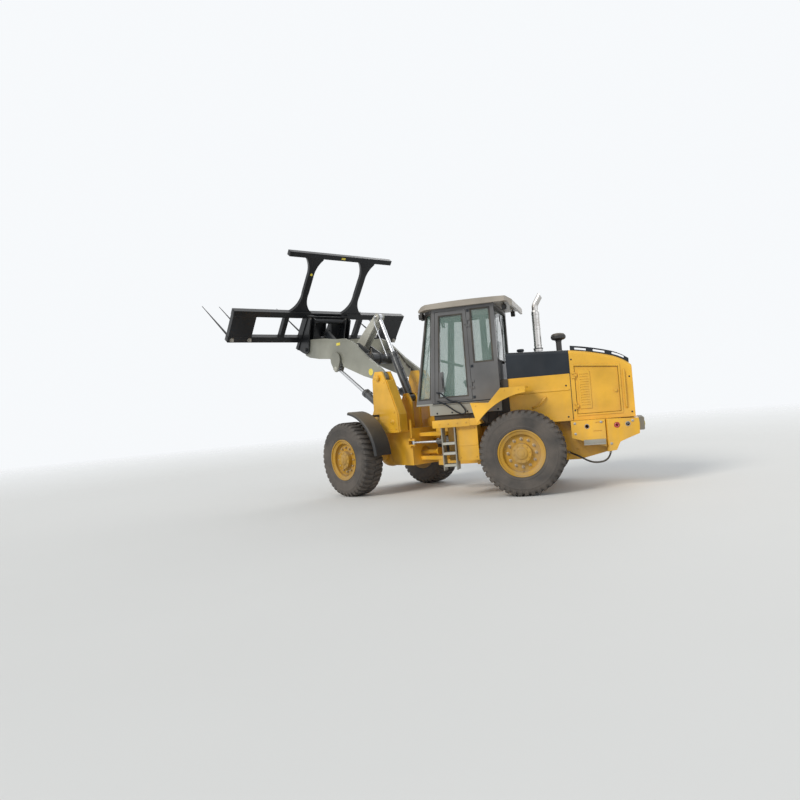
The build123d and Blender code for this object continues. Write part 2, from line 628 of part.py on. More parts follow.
def corner_bends(points):
    """Radius at each corner of a route, as large as its two runs allow."""
    route = [Vector(*point) for point in points]
    bends = []
    for before, corner, after in zip(route, route[1:], route[2:]):
        into, out = corner - before, after - corner
        turn = radians(into.get_angle(out))
        bends.append(0.45 * min(into.length, out.length) / tan(turn / 2))
    return bends


def bent_tube(points, radius):
    """Tube or hose along a route, with wide bends."""
    path = FilletPolyline(*points, radius=corner_bends(points))
    return sweep(Plane(origin=path @ 0, z_dir=path % 0) * Circle(radius), path=path)


def drain_hose():
    """Black hose that hangs in a loop below the rear weight."""
    return bent_tube(DRAIN_ROUTE, HOSE_RADIUS)


# Front half

def front_frame():
    """Lower box of the front half with its hinge brackets and the cylinder ears."""
    outline = [(500, 480), (500, 1290), (560, 1290), (1900, 1150), (1960, 800), (1720, 790), (1640, 840),
               (1250, 840), (1170, 790), (1000, 480)]
    sides = both_sides(plate(outline, 290, PLATE))
    inner = 275
    front_wall = block((-1930, -1900), (-inner, inner), (800, 1140))
    wall = block((-530, -500), (-inner, inner), (480, 1130))
    wall -= rod((-600, 0, 690), (-400, 0, 690), 110)
    top = block((-1250, -530), (-inner, inner), (1100, 1130))
    saddle = block((-1640, -1250), (-inner, inner), (905, 945))
    hinge = Part()
    for low, thick in ((561, 64), (975, 64)):
        bored = block((-500, 0), (-120, 120), (low, low + thick)) + Pos(0, 0, low) * Cylinder(120, thick,
                                                                                              align=FOOT)
        hinge += bored - Pos(0, 0, low - 10) * Cylinder(45 + RUNNING, thick + 20, align=FOOT)
    ears = Part()
    ahead, beside = STEER_ROD_PIN
    for z, head in ((STEER_CYLINDER_HEIGHT - 56, -14), (STEER_CYLINDER_HEIGHT + 32, 14)):
        ears += block((-505, -ahead), (beside - 45, beside + 45), (z, z + 24))
        ears += Pos(-ahead, beside, z) * Cylinder(45, 24, align=FOOT)
        ears += Pos(-ahead, beside, z + head) * Cylinder(28, 24, align=FOOT)
    backing = block((-560, -500), (305, 345), (800, 960))
    pocket = Pos(-ahead, beside, STEER_CYLINDER_HEIGHT - 32) * Cylinder(STEER_POCKET, 64, align=FOOT)
    walls = sides + front_wall + wall + top + saddle + both_sides(backing) - both_sides(pocket)
    return walls + hinge + both_sides(ears)


def boom_towers():
    """Pairs of upright plates that carry the boom arms, with the cylinder feet between them."""
    upper = [(560, 1085), (560, 1400), (830, 2050), (900, 2180), (1100, 2190), (1180, 2050)]
    outer = plate(upper + [(1210, 1500), (1390, 1160), (1390, 1085)], 530, PLATE)
    inner = plate(upper + [(1210, 1500), (1300, 1295), (1300, 1085)], 345, PLATE)
    base = block((-1400, -550), (306, 550), (1080, 1110))
    back = plate([(535, 1090), (535, 1395), (797, 2025), (835, 2025), (575, 1400), (575, 1090)], 437, 180)
    boom_pin = cross_pin(BOOM_PIVOT, 45, 335, 575)
    foot_pin = cross_pin(LIFT_FOOT, 35, 335, 540)
    tower = outer + inner + base + back + boom_pin + foot_pin
    tilt_ear = plate([(650, 1131), (650, 1600), (740, 1760), (860, 1760), (950, 1600), (950, 1131)], 93, PLATE)
    tilt_pin = cross_pin(TILT_FOOT, 35, 0, 108)
    return Part() + [both_sides(tower), both_sides(tilt_ear + tilt_pin)]


def front_fenders():
    """Moulded fenders round the front tyres, bent about the axle, with an outer lip and a bracket."""
    section = Polyline((722, 828), (1040, 828), (1048, 800), (1062, 800), (1062, 832), (1044, 850),
                       (722, 850), close=True)
    shell = Rot(0, 8, 0) * revolve(make_face(Plane.YZ * section), Axis.Y, 78)
    shell = Pos(-AXLE_AHEAD, 0, AXLE_HEIGHT) * shell
    bracket = block((-1120, -1060), (546, 726), (1380, 1420))
    return both_sides(shell + bracket)


# Boom and linkage

def boom_arms():
    """Two deep cranked arms with their pin bosses and cylinder lugs."""
    outline = [(896, 2072), (940, 2180), (996, 2235), (1385, 2493), (1832, 2847), (2047, 2922), (2342, 2945),
               (2711, 3008), (3207, 3050), (3340, 3020), (3440, 2930), (3450, 2840), (3400, 2740),
               (3263, 2684), (2943, 2624), (2563, 2583), (2470, 2520), (2121, 2381), (1521, 2153),
               (1164, 2049), (1100, 1980), (1016, 1950), (930, 1990)]
    arm = plate(outline, ARM_OFFSET, ARM_THICK)
    arm += cross_pin(BOOM_PIVOT, 95, ARM_OFFSET - 75, ARM_OFFSET + 70)
    arm -= cross_pin(BOOM_PIVOT, 45 + RUNNING, 200, 700)
    arm += cross_pin(TOOL_PIN, 95, ARM_OFFSET - 35, ARM_OFFSET + 35)
    arm -= cross_pin(TOOL_PIN, 35 + RUNNING, 300, 600)
    arm -= cross_pin(LIFT_ROD_PIN, 185, ARM_OFFSET - 60, ARM_OFFSET + 60)
    for y in (ARM_OFFSET - 62, ARM_OFFSET + 62):
        arm += hull([(2325, 2540, 150), (*LIFT_ROD_PIN, 62)], y, 24)
    web = block((-2400, -2250), (ARM_OFFSET - 74, ARM_OFFSET + 74), (2560, 2590))
    return both_sides(arm + web)


def boom_crosstube():
    """Tube between the arms with the two ears that hold the bellcrank."""
    tube = rod((-1760, -ARM_OFFSET + ARM_THICK / 2, 2500), (-1760, ARM_OFFSET - ARM_THICK / 2, 2500), 110)
    ears = both_sides(hull([(1760, 2500, 135), (*BELLCRANK_PIN, 80)], 98, 26))
    pin = cross_pin(BELLCRANK_PIN, 40, -125, 125)
    return tube + ears + pin


def bellcrank():
    """Pair of plates on one hub, with the cylinder above and the link below."""
    ends = [(*BELLCRANK_TOP, 62), (*BELLCRANK_PIN, 115), (*LINK_REAR_PIN, 70)]
    plates = both_sides(hull(ends, 62, 26))
    hub = cross_pin(BELLCRANK_PIN, 80, -50, 50)
    link_pin = cross_pin(LINK_REAR_PIN, 35, -75, 75)
    crank = plates + hub + link_pin
    return crank - cross_pin(BELLCRANK_PIN, 40 + RUNNING, -200, 200)


def tilt_link():
    """Link from the bellcrank's foot to the coupler."""
    link = hull([(*LINK_REAR_PIN, 65), (*LINK_FRONT_PIN, 65)], 0, 70)
    link -= cross_pin(LINK_REAR_PIN, 35 + RUNNING, -200, 200)
    return link


def cylinder_barrel(foot, pin, length, radius, bore, eye_width):
    """Hydraulic barrel from its foot eye, with a blind bore for the rod, at y = 0."""
    reach = hypot(pin[0] - foot[0], pin[1] - foot[1])
    ux, uz = (pin[0] - foot[0]) / reach, (pin[1] - foot[1]) / reach

    def at(distance):
        return (-(foot[0] + ux * distance), 0, foot[1] + uz * distance)

    barrel = rod(at(radius * 0.9), at(length), radius) + rod(at(length - 60), at(length), radius + 8)
    barrel += cross_pin(foot, radius * 0.95, -eye_width / 2, eye_width / 2)
    return barrel - rod(at(radius * 0.9 + 25), at(length + 10), bore)


def cylinder_rod(foot, pin, inside, radius, eye_radius, eye_width):
    """Chrome rod reaching into the barrel, with its eye and bush."""
    reach = hypot(pin[0] - foot[0], pin[1] - foot[1])
    ux, uz = (pin[0] - foot[0]) / reach, (pin[1] - foot[1]) / reach
    start = (-(pin[0] - ux * inside), 0, pin[1] - uz * inside)
    end = (-(pin[0] - ux * eye_radius * 0.6), 0, pin[1] - uz * eye_radius * 0.6)
    return rod(start, end, radius) + cross_pin(pin, eye_radius, -eye_width / 2, eye_width / 2)


def tilt_barrel():
    """Barrel of the single tilt cylinder."""
    barrel = cylinder_barrel(TILT_FOOT, BELLCRANK_TOP, 940, 70, 38, 150)
    return barrel - cross_pin(TILT_FOOT, 35 + RUNNING, -200, 200)


def tilt_rod():
    """Rod of the tilt cylinder, its eye between the bellcrank plates."""
    return cylinder_rod(TILT_FOOT, BELLCRANK_TOP, 1000, 36, 60, 76)


def lift_barrels():
    """Barrels of the two lift cylinders."""
    barrel = cylinder_barrel(LIFT_FOOT, LIFT_ROD_PIN, 1030, 65, 33.5, 110)
    barrel -= cross_pin(LIFT_FOOT, 35 + RUNNING, -200, 200)
    return both_sides(Pos(0, ARM_OFFSET, 0) * barrel)


def lift_rods():
    """Rods of the two lift cylinders, their eyes between the boom lugs."""
    piece = cylinder_rod(LIFT_FOOT, LIFT_ROD_PIN, 1230, 32, 52, 76)
    return both_sides(Pos(0, ARM_OFFSET, 0) * piece)


def boom_hoses():
    """Pressure hoses that arch from the cross tube to the boom arms and run back along them."""
    return both_sides(bent_tube(BOOM_ROUTE, HOSE_RADIUS))


# Attachment, drawn level with its pin at the origin: ahead, height above the pin

RAIL = 120
RAIL_BACK = 330
RAIL_HALF = 2120
RAIL_LEVELS = (50, 611)
UPRIGHT_OFFSET = 640
TOP_BAR_HEIGHT = 1895
SPEAR_LENGTH = 1245
SPEAR_ROWS = (-2040, -1660, -280, 280, 1660, 2040)
LINK_ON_TOOL = (161, 305)


def on_boom(shape):
    """Moves an attachment piece from its own frame to the boom's tip, rolled back."""
    return Pos(-TOOL_PIN[0], 0, TOOL_PIN[1]) * Rot(0, TOOL_TILT, 0) * shape


def coupler():
    """Quick coupler: pin ears, cross tubes, back plates and the link ears."""
    ear_outline = [(-95, 0), (-60, 75), (60, 330), (150, 620), (250, 620), (250, -140), (60, -110), (-50, -75)]
    ears = Part()
    for y in (ARM_OFFSET - 58, ARM_OFFSET + 58):
        ears += plate(ear_outline, y, 26)
    ears += cross_pin((0, 0), 35, ARM_OFFSET - 85, ARM_OFFSET + 85)
    lower = rod((-212, -ARM_OFFSET + 58, -75), (-212, ARM_OFFSET - 58, -75), 45)
    upper = rod((-212, -ARM_OFFSET + 58, 560), (-212, ARM_OFFSET - 58, 560), 45)
    back = both_sides(block((-329, -245), (ARM_OFFSET - 90, ARM_OFFSET + 90), (-145, 645)))
    ahead = LINK_ON_TOOL[0]
    link_ears = both_sides(plate([(ahead - 70, 305), (ahead - 30, 380), (258, 600), (258, 180), (150, 225)],
                                 62, 26))
    panel = block((-275, -250), (-ARM_OFFSET + 85, ARM_OFFSET - 85), (150, 640))
    panel -= block((-300, -200), (-48, 48), (160, 480))
    foot = block((-329, -250), (-ARM_OFFSET + 85, ARM_OFFSET - 85), (-140, -60))
    return on_boom(both_sides(ears) + lower + upper + back + link_ears + panel + foot)


def frame_rails():
    """Upper and lower square rails of the spear frame."""
    deep, half = (-RAIL_BACK - RAIL, -RAIL_BACK), RAIL / 2
    return on_boom(Part() + [block(deep, (-RAIL_HALF, RAIL_HALF), (z - half, z + half)) for z in RAIL_LEVELS])


def frame_posts():
    """End plates and centre posts between the rails."""
    low, high = RAIL_LEVELS[0] + RAIL / 2, RAIL_LEVELS[1] - RAIL / 2
    posts = []
    for inner, outer in ((1620, RAIL_HALF), (880, 980), (380, 500)):
        posts.append(both_sides(block((-RAIL_BACK - RAIL + 10, -RAIL_BACK - 10), (inner, outer), (low, high))))
    return on_boom(Part() + posts)


def uprights():
    """Two flat posts with flared feet and heads."""
    foot = RAIL_LEVELS[1] + RAIL / 2
    head = TOP_BAR_HEIGHT - 50
    right = Line((0, foot), (260, foot)) + ThreePointArc((260, foot), (116, foot + 150), (66, foot + 420))
    right += Line((66, foot + 420), (66, head - 400))
    right += ThreePointArc((66, head - 400), (98, head - 180), (190, head - 30))
    right += Polyline((190, head - 30), (190, head), (0, head))
    face = make_face(Plane.YZ * (right + mirror(right, Plane.YZ)))
    post = Pos(-RAIL_BACK - RAIL / 2 - 35, 0, 0) * extrude(face, 70)
    return on_boom(Part() + [Pos(0, -UPRIGHT_OFFSET, 0) * post, Pos(0, UPRIGHT_OFFSET, 0) * post])


def top_bar():
    """Long tube across the heads of the uprights."""
    z = TOP_BAR_HEIGHT
    return on_boom(block((-RAIL_BACK - 110, -RAIL_BACK - 10), (-1245, 1245), (z - 50, z + 50)))


def spears():
    """Tapered bale spears with their collars on the lower rail."""
    pieces = []
    front = -RAIL_BACK - RAIL
    for y in SPEAR_ROWS:
        collar = rod((front, y, RAIL_LEVELS[0]), (front - 70, y, RAIL_LEVELS[0]), 42)
        taper = Plane(origin=(front - 70, y, RAIL_LEVELS[0]), z_dir=(-1, 0, 0)) * Cone(22, 6, SPEAR_LENGTH,
                                                                                       align=FOOT)
        pieces.append(collar + taper)
    return on_boom(Part() + pieces)


# Steering cylinders

def steer_cylinder(side):
    """Barrel and rod of one steering cylinder, drawn at the steered pose."""
    turn = radians(STEER_AT_REST)
    foot = (-STEER_FOOT[0], side * STEER_FOOT[1])
    x, y = -STEER_ROD_PIN[0], side * STEER_ROD_PIN[1]
    pin = (x * cos(turn) - y * sin(turn), x * sin(turn) + y * cos(turn))
    reach = hypot(pin[0] - foot[0], pin[1] - foot[1])
    ux, uy = (pin[0] - foot[0]) / reach, (pin[1] - foot[1]) / reach
    z = STEER_CYLINDER_HEIGHT

    def at(distance):
        return (foot[0] + ux * distance, foot[1] + uy * distance, z)

    barrel = rod(at(30), at(STEER_BARREL), 45) + Pos(foot[0], foot[1], z - 35) * Cylinder(45, 70, align=FOOT)
    barrel -= rod(at(60), at(STEER_BARREL + 10), 22.5)
    barrel -= Pos(foot[0], foot[1], z - 50) * Cylinder(20 + RUNNING, 100, align=FOOT)
    piece = rod(at(reach - STEER_ROD), at(reach - 25), 21) + Pos(pin[0], pin[1], z - 30) * Cylinder(40, 60,
                                                                                                    align=FOOT)
    piece -= Pos(pin[0], pin[1], z - 50) * Cylinder(20 + RUNNING, 100, align=FOOT)
    return barrel, piece


def steered(shape):
    """Turns a front-half piece about the steering axis to the pose at rest."""
    return Rot(0, 0, STEER_AT_REST) * shape


def build_nodes():
    """Every node by name, about the steering pivot, with the front half steered."""
    rear = {
        "rear_frame": rear_frame(), "rear_axle": axle(AXLE_AHEAD, 350, 380,
                                                      850), "engine_block": engine_block(),
        "cab_shell": cab_shell(), "cab_roof": cab_roof(), "cab_glass": cab_glass(),
        "cab_interior": cab_interior(), "cab_door": cab_door(), "door_glass": door_glass(),
        "door_rail": door_rail(),
        "hood_front": hood_front(), "hood_cover": hood_cover(), "engine_hood": engine_hood(),
        "engine_door_left": engine_door(-1), "engine_door_right": engine_door(1), "rear_grille": rear_grille(),
        "counterweight": counterweight(), "tail_box": tail_box(), "tail_lamps": tail_lamps(),
        "rear_fenders": rear_fenders(), "side_platforms": side_platforms(), "ladders": ladders(),
        "guard_rails": guard_rails(),
        "exhaust_stack": exhaust_stack(), "precleaner": precleaner(), "work_lamps": work_lamps(),
        "mirrors": mirrors(), "drain_hose": drain_hose(),
    }
    front = {
        "front_frame": front_frame(), "boom_towers": boom_towers(), "front_axle": axle(-AXLE_AHEAD, 275, 305,
                                                                                       840),
        "front_fenders": front_fenders(),
        "boom_arms": boom_arms(), "boom_crosstube": boom_crosstube(), "boom_hoses": boom_hoses(),
        "bellcrank": bellcrank(), "tilt_link": tilt_link(), "tilt_barrel": tilt_barrel(),
        "tilt_rod": tilt_rod(),
        "lift_barrels": lift_barrels(), "lift_rods": lift_rods(), "coupler": coupler(),
        "frame_rails": frame_rails(),
        "frame_posts": frame_posts(), "uprights": uprights(), "top_bar": top_bar(), "spears": spears(),
    }
    for name, (shape, in_front) in wheel_pieces().items():
        (front if in_front else rear)[name] = shape
    for name, side in (("left", -1), ("right", 1)):
        rear[f"steer_barrel_{name}"], rear[f"steer_rod_{name}"] = steer_cylinder(side)
    return {**rear, **{name: steered(shape) for name, shape in front.items()}}


NODES = build_nodes()
BOXES = [shape.bounding_box() for shape in NODES.values()]
SHIFT = (-(min(b.min.X for b in BOXES) + max(b.max.X for b in BOXES)) / 2,
         -(min(b.min.Y for b in BOXES) + max(b.max.Y for b in BOXES)) / 2, 0)

if __name__ == "__main__":
    os.makedirs("parts", exist_ok=True)
    for name, shape in NODES.items():
        export_step(Pos(*SHIFT) * shape, f"parts/{name}.step")
    for name, route in (("drain_hose", DRAIN_ROUTE), ("boom_hoses", BOOM_ROUTE)):
        print(name, "bend radii", [round(bend) for bend in corner_bends(route)])
    print("shift of the steering pivot", [round(value, 3) for value in SHIFT])
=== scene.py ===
import json
import math

import bmesh
import bpy
from bpy.props import FloatProperty, FloatVectorProperty, IntProperty, PointerProperty
from mathutils import Matrix, Vector


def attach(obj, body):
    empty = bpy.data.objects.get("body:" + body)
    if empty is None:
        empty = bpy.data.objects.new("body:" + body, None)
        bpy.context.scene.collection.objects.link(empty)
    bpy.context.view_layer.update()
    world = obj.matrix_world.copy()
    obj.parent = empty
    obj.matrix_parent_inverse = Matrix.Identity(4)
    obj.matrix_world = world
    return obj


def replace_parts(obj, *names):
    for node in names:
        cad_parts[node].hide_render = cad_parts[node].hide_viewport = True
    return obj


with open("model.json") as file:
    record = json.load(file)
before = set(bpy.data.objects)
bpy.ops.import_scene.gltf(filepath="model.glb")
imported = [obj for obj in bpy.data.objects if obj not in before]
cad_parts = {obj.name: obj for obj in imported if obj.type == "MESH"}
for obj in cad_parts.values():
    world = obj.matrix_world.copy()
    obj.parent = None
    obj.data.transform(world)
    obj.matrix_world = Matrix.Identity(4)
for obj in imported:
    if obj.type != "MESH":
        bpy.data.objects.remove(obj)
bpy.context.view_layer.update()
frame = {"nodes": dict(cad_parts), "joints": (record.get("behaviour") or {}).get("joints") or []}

bl_info = {
    "name": "Wheel loader with bale spear",
    "version": (1, 0, 0),
    "blender": (4, 5, 0),
    "location": "View3D > Sidebar > Loader",
    "description": "Finishes and fittings of an articulated wheel loader that carries a bale spear",
    "category": "Object",
}

X, Y, Z = Vector((1, 0, 0)), Vector((0, 1, 0)), Vector((0, 0, 1))
CORNERS = ("front_left", "front_right", "rear_left", "rear_right")

# Places in millimetres about the steering pivot, as in the part: X rearward, Y right, Z up.
# Those with Y in their name are on both sides, and STACK and INTAKE are (x, y).
AXLE_BEHIND = 1445
HALF_TRACK = 941
TYRE_RADIUS = 662
HOOD_Y, WEIGHT_Y, DECK_Y, LADDER_Y = 620, 750, 1030, 960
DECK_Z = 1250
# Treads of a ladder: z, how much further out the inner end is than the lowest tread's.
LADDER_TREADS = ((880, 60), (722, 30), (533, 0))
HOOD_SEAM_X = (2228, 2236)
GRILLE_X = 3136
STACK = (1745, -200)
INTAKE = (2070, -60)
STOP_LAMP_X, STOP_LAMP_Z = 3284, 960
TAIL_LAMP_X = 2870
TIE_HOLES_X = (3029, 2428)
WORK_LAMP_Z = 2994
REAR_WIPER_X = 1158
BOOM_OUTER_Y, BOOM_INNER_Y = 465, 415
LEVEL_ROD_Y = -106
POST_Y = 640
SPEARS_Y = (-2040, -1660, -280, 280, 1660, 2040)
# Half the cab's plan at its foot, from the rear: x, how far it shifts rearward up to the roof, y.
CAB_Y = 720
CAB_Z, CAB_HEIGHT = 1500, 1560
CAB_PLAN = ((1140, 0, -CAB_Y), (10, 120, -CAB_Y), (-330, 285, -450))
# Cross pins as (x, z).
PINS = {
    "boom": (-1016, 2072), "tool": (-3310, 2850), "bellcrank": (-2095, 2761), "bellcrank_top": (-1500, 3260),
    "link_rear": (-2428, 2476), "tilt_foot": (-800, 1680), "lift_foot": (-700, 1270), "lift_rod": (-2325, 2362),
}
# Openings of the cab: wall, gap before and after, or one gap and a width, then the low and the high edge.
DOORWAY = (0, 450, 46, None, 1545, 3010)
WINDOWS = (
    (0, 60, None, 330, 2130, 3010), (1, 40, 40, None, 1590, 3010), (2, 35, 35, None, 1590, 3010),
    (3, 40, 40, None, 1590, 3010), (4, 46, 450, None, 1605, 3010), (4, None, 60, 330, 2130, 3010),
    (5, 90, 90, None, 2130, 3010),
)
# Route of the hanging hose from its rear end to its front end.
HOSE_ROUTE = ((2752, -520, 581), (2735, -520, 500), (2665, -520, 425), (2560, -520, 404), (2450, -520, 415),
              (2350, -520, 466), (2261, -520, 522), (2165, -460, 560), (2100, -393, 586))
# Half a tyre's section from the bead to the tread: radius, distance from the middle.
TYRE_WALL = (
    (322, 150), (322, 176), (345, 187), (366, 190), (370, 198), (384, 205), (398, 207), (402, 211), (412, 211),
    (418, 209), (450, 216), (500, 220), (536, 219), (541, 221), (549, 221), (554, 217), (575, 214), (595, 207),
    (612, 194), (626, 174), (635, 140), (640, 80), (641, 20),
)
# Sections of a tread lug: distance from the middle, outer and inner radius, sweep in radians, share of its width.
LUG_SECTIONS = ((12, 661, 628, 0.0, 0.9), (80, 662, 628, 0.012, 1.0), (150, 660, 624, 0.034, 1.08),
                (186, 646, 606, 0.048, 1.12), (209, 606, 578, 0.056, 1.0), (215, 585, 572, 0.06, 0.8))
LUG_HALF_WIDTH = 27
# Cover of a differential: radius, distance from the axle.
AXLE_COVER = [(150, 180), (150, 214), (130, 224), (60, 228)]
COVER_BOLTS = 214

# Frames of the rear half, the steered front half and the tool at its pin.
STEER_AT = next(joint["pos_m"] for joint in frame["joints"] if joint["name"] == "steering")
PIVOT = Vector((STEER_AT[0], STEER_AT[1], 0))
STEERED = math.radians(-33)
ROLLED_BACK = math.radians(36)
REAR = Matrix.Translation(PIVOT)
FRONT = REAR @ Matrix.Rotation(STEERED, 4, "Z")
TOOL = (FRONT @ Matrix.Translation(Vector((PINS["tool"][0], 0, PINS["tool"][1])) / 1000)
        @ Matrix.Rotation(ROLLED_BACK, 4, "Y"))

SMOOTH_DEGREES = 35
BEAD_SIDES, BEAD_STEP, BEAD_RIPPLE = 6, 9, 0.12
BARE_METAL = (0.2, 0.17, 0.14)
TYRE_DUST = (0.15, 0.128, 0.11)
SMEARED_GLASS = (0.5, 0.56, 0.52)


def pick_colour(name, description, default):
    """A colour that the user may change."""
    return FloatVectorProperty(name=name, description=description, default=default, subtype="COLOR", size=3,
                               min=0, max=1)


class LoaderColours(bpy.types.PropertyGroup):
    """Paint, plastic and dust colours of the machine."""

    yellow: pick_colour("Yellow paint", "Hood, frames, deck and rims", (0.78, 0.415, 0.02))
    charcoal: pick_colour("Charcoal paint", "Cab panels and door", (0.098, 0.098, 0.1))
    # This grey is the real grey of the ladders and tail box, and it also paints the sunlight on the cab's foot below
    # the charcoal.
    cab_base: pick_colour("Cab base paint", "Foot and front posts of the cab, ladders and bellcrank", (0.3, 0.3, 0.265))
    # The boom's grey is lightened to paint the sun's glare on the dark grey arms.
    boom: pick_colour("Boom paint", "Boom arms", (0.26, 0.26, 0.215))
    barrel: pick_colour("Barrel paint", "Cylinder barrels and cross tube", (0.05, 0.055, 0.062))
    black: pick_colour("Black paint", "Spear frame", (0.008, 0.009, 0.011))
    satin: pick_colour("Satin black", "Hood cover and rails", (0.008, 0.013, 0.02))
    rubber: pick_colour("Rubber", "Tyres", (0.03, 0.028, 0.027))
    dust: pick_colour("Dust", "Field dust that settles on the machine", (0.36, 0.29, 0.2))
    glass: pick_colour("Glass tint", "Cab panes", (0.24, 0.36, 0.31))


class LoaderSizes(bpy.types.PropertyGroup):
    """Sizes of the fittings."""

    lug_count: IntProperty(name="Lugs", description="Tread lugs on each side of a tyre", default=40, min=12, max=60)
    stud_gap: FloatProperty(name="Stud gap", description="Distance between the studs of the treads", default=0.036,
                            min=0.02, max=0.1, unit="LENGTH")
    weld: FloatProperty(name="Weld bead", description="Radius of the weld beads", default=0.007, min=0.002, max=0.02,
                        unit="LENGTH")


class Link:
    """A node socket that plain arithmetic works on: each operation adds its Math node."""

    def __init__(self, finish, socket):
        self.finish = finish
        self.socket = socket

    def combine(self, operation, first, second=0.0):
        return self.finish.node("Math", {"operation": operation}, {0: first, 1: second})

    def __add__(self, other):
        return self.combine("ADD", self, other)

    __radd__ = __add__

    def __sub__(self, other):
        return self.combine("SUBTRACT", self, other)

    def __rsub__(self, other):
        return self.combine("SUBTRACT", other, self)

    def __mul__(self, other):
        return self.combine("MULTIPLY", self, other)

    def __truediv__(self, other):
        return self.combine("DIVIDE", self, other)

    def held(self):
        """The value kept between nought and one."""
        return self.finish.node("Clamp", {}, {"Value": self})


class Finish:
    """Nodes of one procedural material, or of the studio's world."""

    def __init__(self, name, kind="materials"):
        self.owner = getattr(bpy.data, kind).new(name)
        self.owner.use_nodes = True
        self.tree = self.owner.node_tree
        self.tree.nodes.clear()

    def node(self, kind, settings, sockets, output=0):
        """Adds a node with its settings, then fills its sockets with values or links."""
        made = self.tree.nodes.new("ShaderNode" + kind)
        for key, value in settings.items():
            if key == "stops":
                ramp = made.color_ramp
                for element, (position, shade) in zip(ramp.elements, value):
                    element.position, element.color = position, (shade, shade, shade, 1)
            else:
                setattr(made, key, value)
        for key, value in sockets.items():
            if isinstance(value, Link):
                self.tree.links.new(value.socket, made.inputs[key])
            else:
                made.inputs[key].default_value = value
        return Link(self, made.outputs[output])

    def place(self):
        return self.node("TexCoord", {}, {}, "Object")

    def height(self):
        return self.node("SeparateXYZ", {}, {0: self.place()}, 2)

    def facing_up(self):
        return self.node("SeparateXYZ", {}, {0: self.node("TexCoord", {}, {}, "Normal")}, 2)

    def noise(self, scale, detail=3.0, stretch=None):
        where = self.place()
        if stretch:
            where = self.node("Mapping", {}, {"Vector": where, "Scale": stretch})
        return self.node("TexNoise", {}, {"Vector": where, "Scale": scale, "Detail": detail})

    def bands(self, direction, scale, distortion=0.0):
        return self.node("TexWave", {"wave_type": "BANDS", "bands_direction": direction},
                         {"Vector": self.place(), "Scale": scale, "Distortion": distortion})

    def ramp(self, value, *stops):
        return self.node("ValToRGB", {"stops": stops}, {0: value})

    def blend(self, factor, first, second):
        """Colour mix by a factor."""
        rgba = [value if isinstance(value, Link) else (*value, 1) for value in (first, second)]
        return self.node("Mix", {"data_type": "RGBA"}, {0: factor, 6: rgba[0], 7: rgba[1]}, 2)

    def rounded(self, radius):
        """Normal with softened edges."""
        return self.node("Bevel", {"samples": 4}, {"Radius": radius})

    def edges(self, radius, strength):
        """Mask that is one on outer edges."""
        flat = self.node("NewGeometry", {}, {}, "Normal")
        close = self.node("VectorMath", {"operation": "DOT_PRODUCT"}, {0: self.rounded(radius), 1: flat}, "Value")
        return ((1 - close) * strength).held()

    def bump(self, height, strength, distance, normal=None):
        sockets = {"Height": height, "Strength": strength, "Distance": distance}
        if normal:
            sockets["Normal"] = normal
        return self.node("Bump", {}, sockets)

    def shader(self, **sockets):
        """Principled shader: its sockets are named with _ for a blank."""
        return self.node("BsdfPrincipled", {}, {key.replace("_", " "): value for key, value in sockets.items()})

    def close(self, shader, output="OutputMaterial"):
        """Links the last shader to the output."""
        end = self.tree.nodes.new("ShaderNode" + output)
        self.tree.links.new(shader.socket, end.inputs["Surface"])
        return self.owner

    def shade(self, **sockets):
        """Closes the material with its Principled shader."""
        return self.close(self.shader(**sockets))


def paint(name, colour, dust, dusty, rough, worn, edge=0.006, sunlit_lower=None, gloss=0.25, sheen=0.5):
    """Enamel with faded patches, edge wear, fine scratches and settled dust, and, where given, a lighter tone below a
    height as painted sunlight on the lower part.
    """
    finish = Finish(name)
    cloud = finish.noise(1.7, 5.0)
    grain = finish.noise(55.0, 4.0)
    streak = finish.noise(2.4, 6.0, (2.2, 2.2, 0.5))
    faded = tuple(min(1.0, channel * 1.22 + 0.012) for channel in colour)
    deep = tuple(channel * 0.78 for channel in colour)
    base = finish.blend(finish.ramp(cloud, (0.3, 0.0), (0.72, 1.0)), deep, faded)
    # Painted sunlight: below the given height the colour turns to the lighter tone of a sunlit foot.
    if sunlit_lower:
        tone, height = sunlit_lower
        base = finish.blend(((height - finish.height()) * 250).held(), base, tone)
    chips = finish.ramp(finish.noise(38.0, 5.0), (0.52, 0.0), (0.6, 1.0))
    wear = (finish.edges(edge, 5.0) * chips * worn).held()
    base = finish.blend(wear, base, BARE_METAL)
    low = finish.ramp(finish.height() * 0.35, (0.12, 1.0), (0.62, 0.12))
    lying = finish.ramp(finish.facing_up(), (0.35, 0.0), (0.95, 1.0))
    washed = finish.ramp(streak, (0.38, 0.0), (0.74, 1.0)) * low * 0.85
    settled = washed + lying * 0.55 * finish.ramp(cloud, (0.25, 0.3), (0.7, 1.0))
    coat = (settled * dusty * (0.55 + grain * 0.9)).held()
    base = finish.blend(coat, base, dust)
    roughness = (rough + coat * 0.55 + (grain - 0.5) * 0.12 + wear * 0.2).held()
    normal = finish.bump(grain * 0.5 + finish.noise(240.0, 2.0) * 0.3 - wear, 0.12, 0.002, finish.rounded(edge))
    return finish.shade(Base_Color=base, Roughness=roughness, Normal=normal,
                        Coat_Weight=((1 - coat) * gloss).held(), Specular_IOR_Level=sheen)


def bare_chrome(name, tint, rough):
    """Plated rod with smears of oil and a little dust."""
    finish = Finish(name)
    smear = finish.noise(3.0, 4.0)
    fine = finish.noise(180.0, 2.0)
    smeared = tuple(channel * 0.62 for channel in tint)
    base = finish.blend(finish.ramp(smear, (0.4, 0.0), (0.8, 0.5)), tint, smeared)
    roughness = (rough + smear * 0.12 + fine * 0.04).held()
    return finish.shade(Base_Color=base, Roughness=roughness, Metallic=1.0, Normal=finish.bump(fine, 0.02, 0.0005))


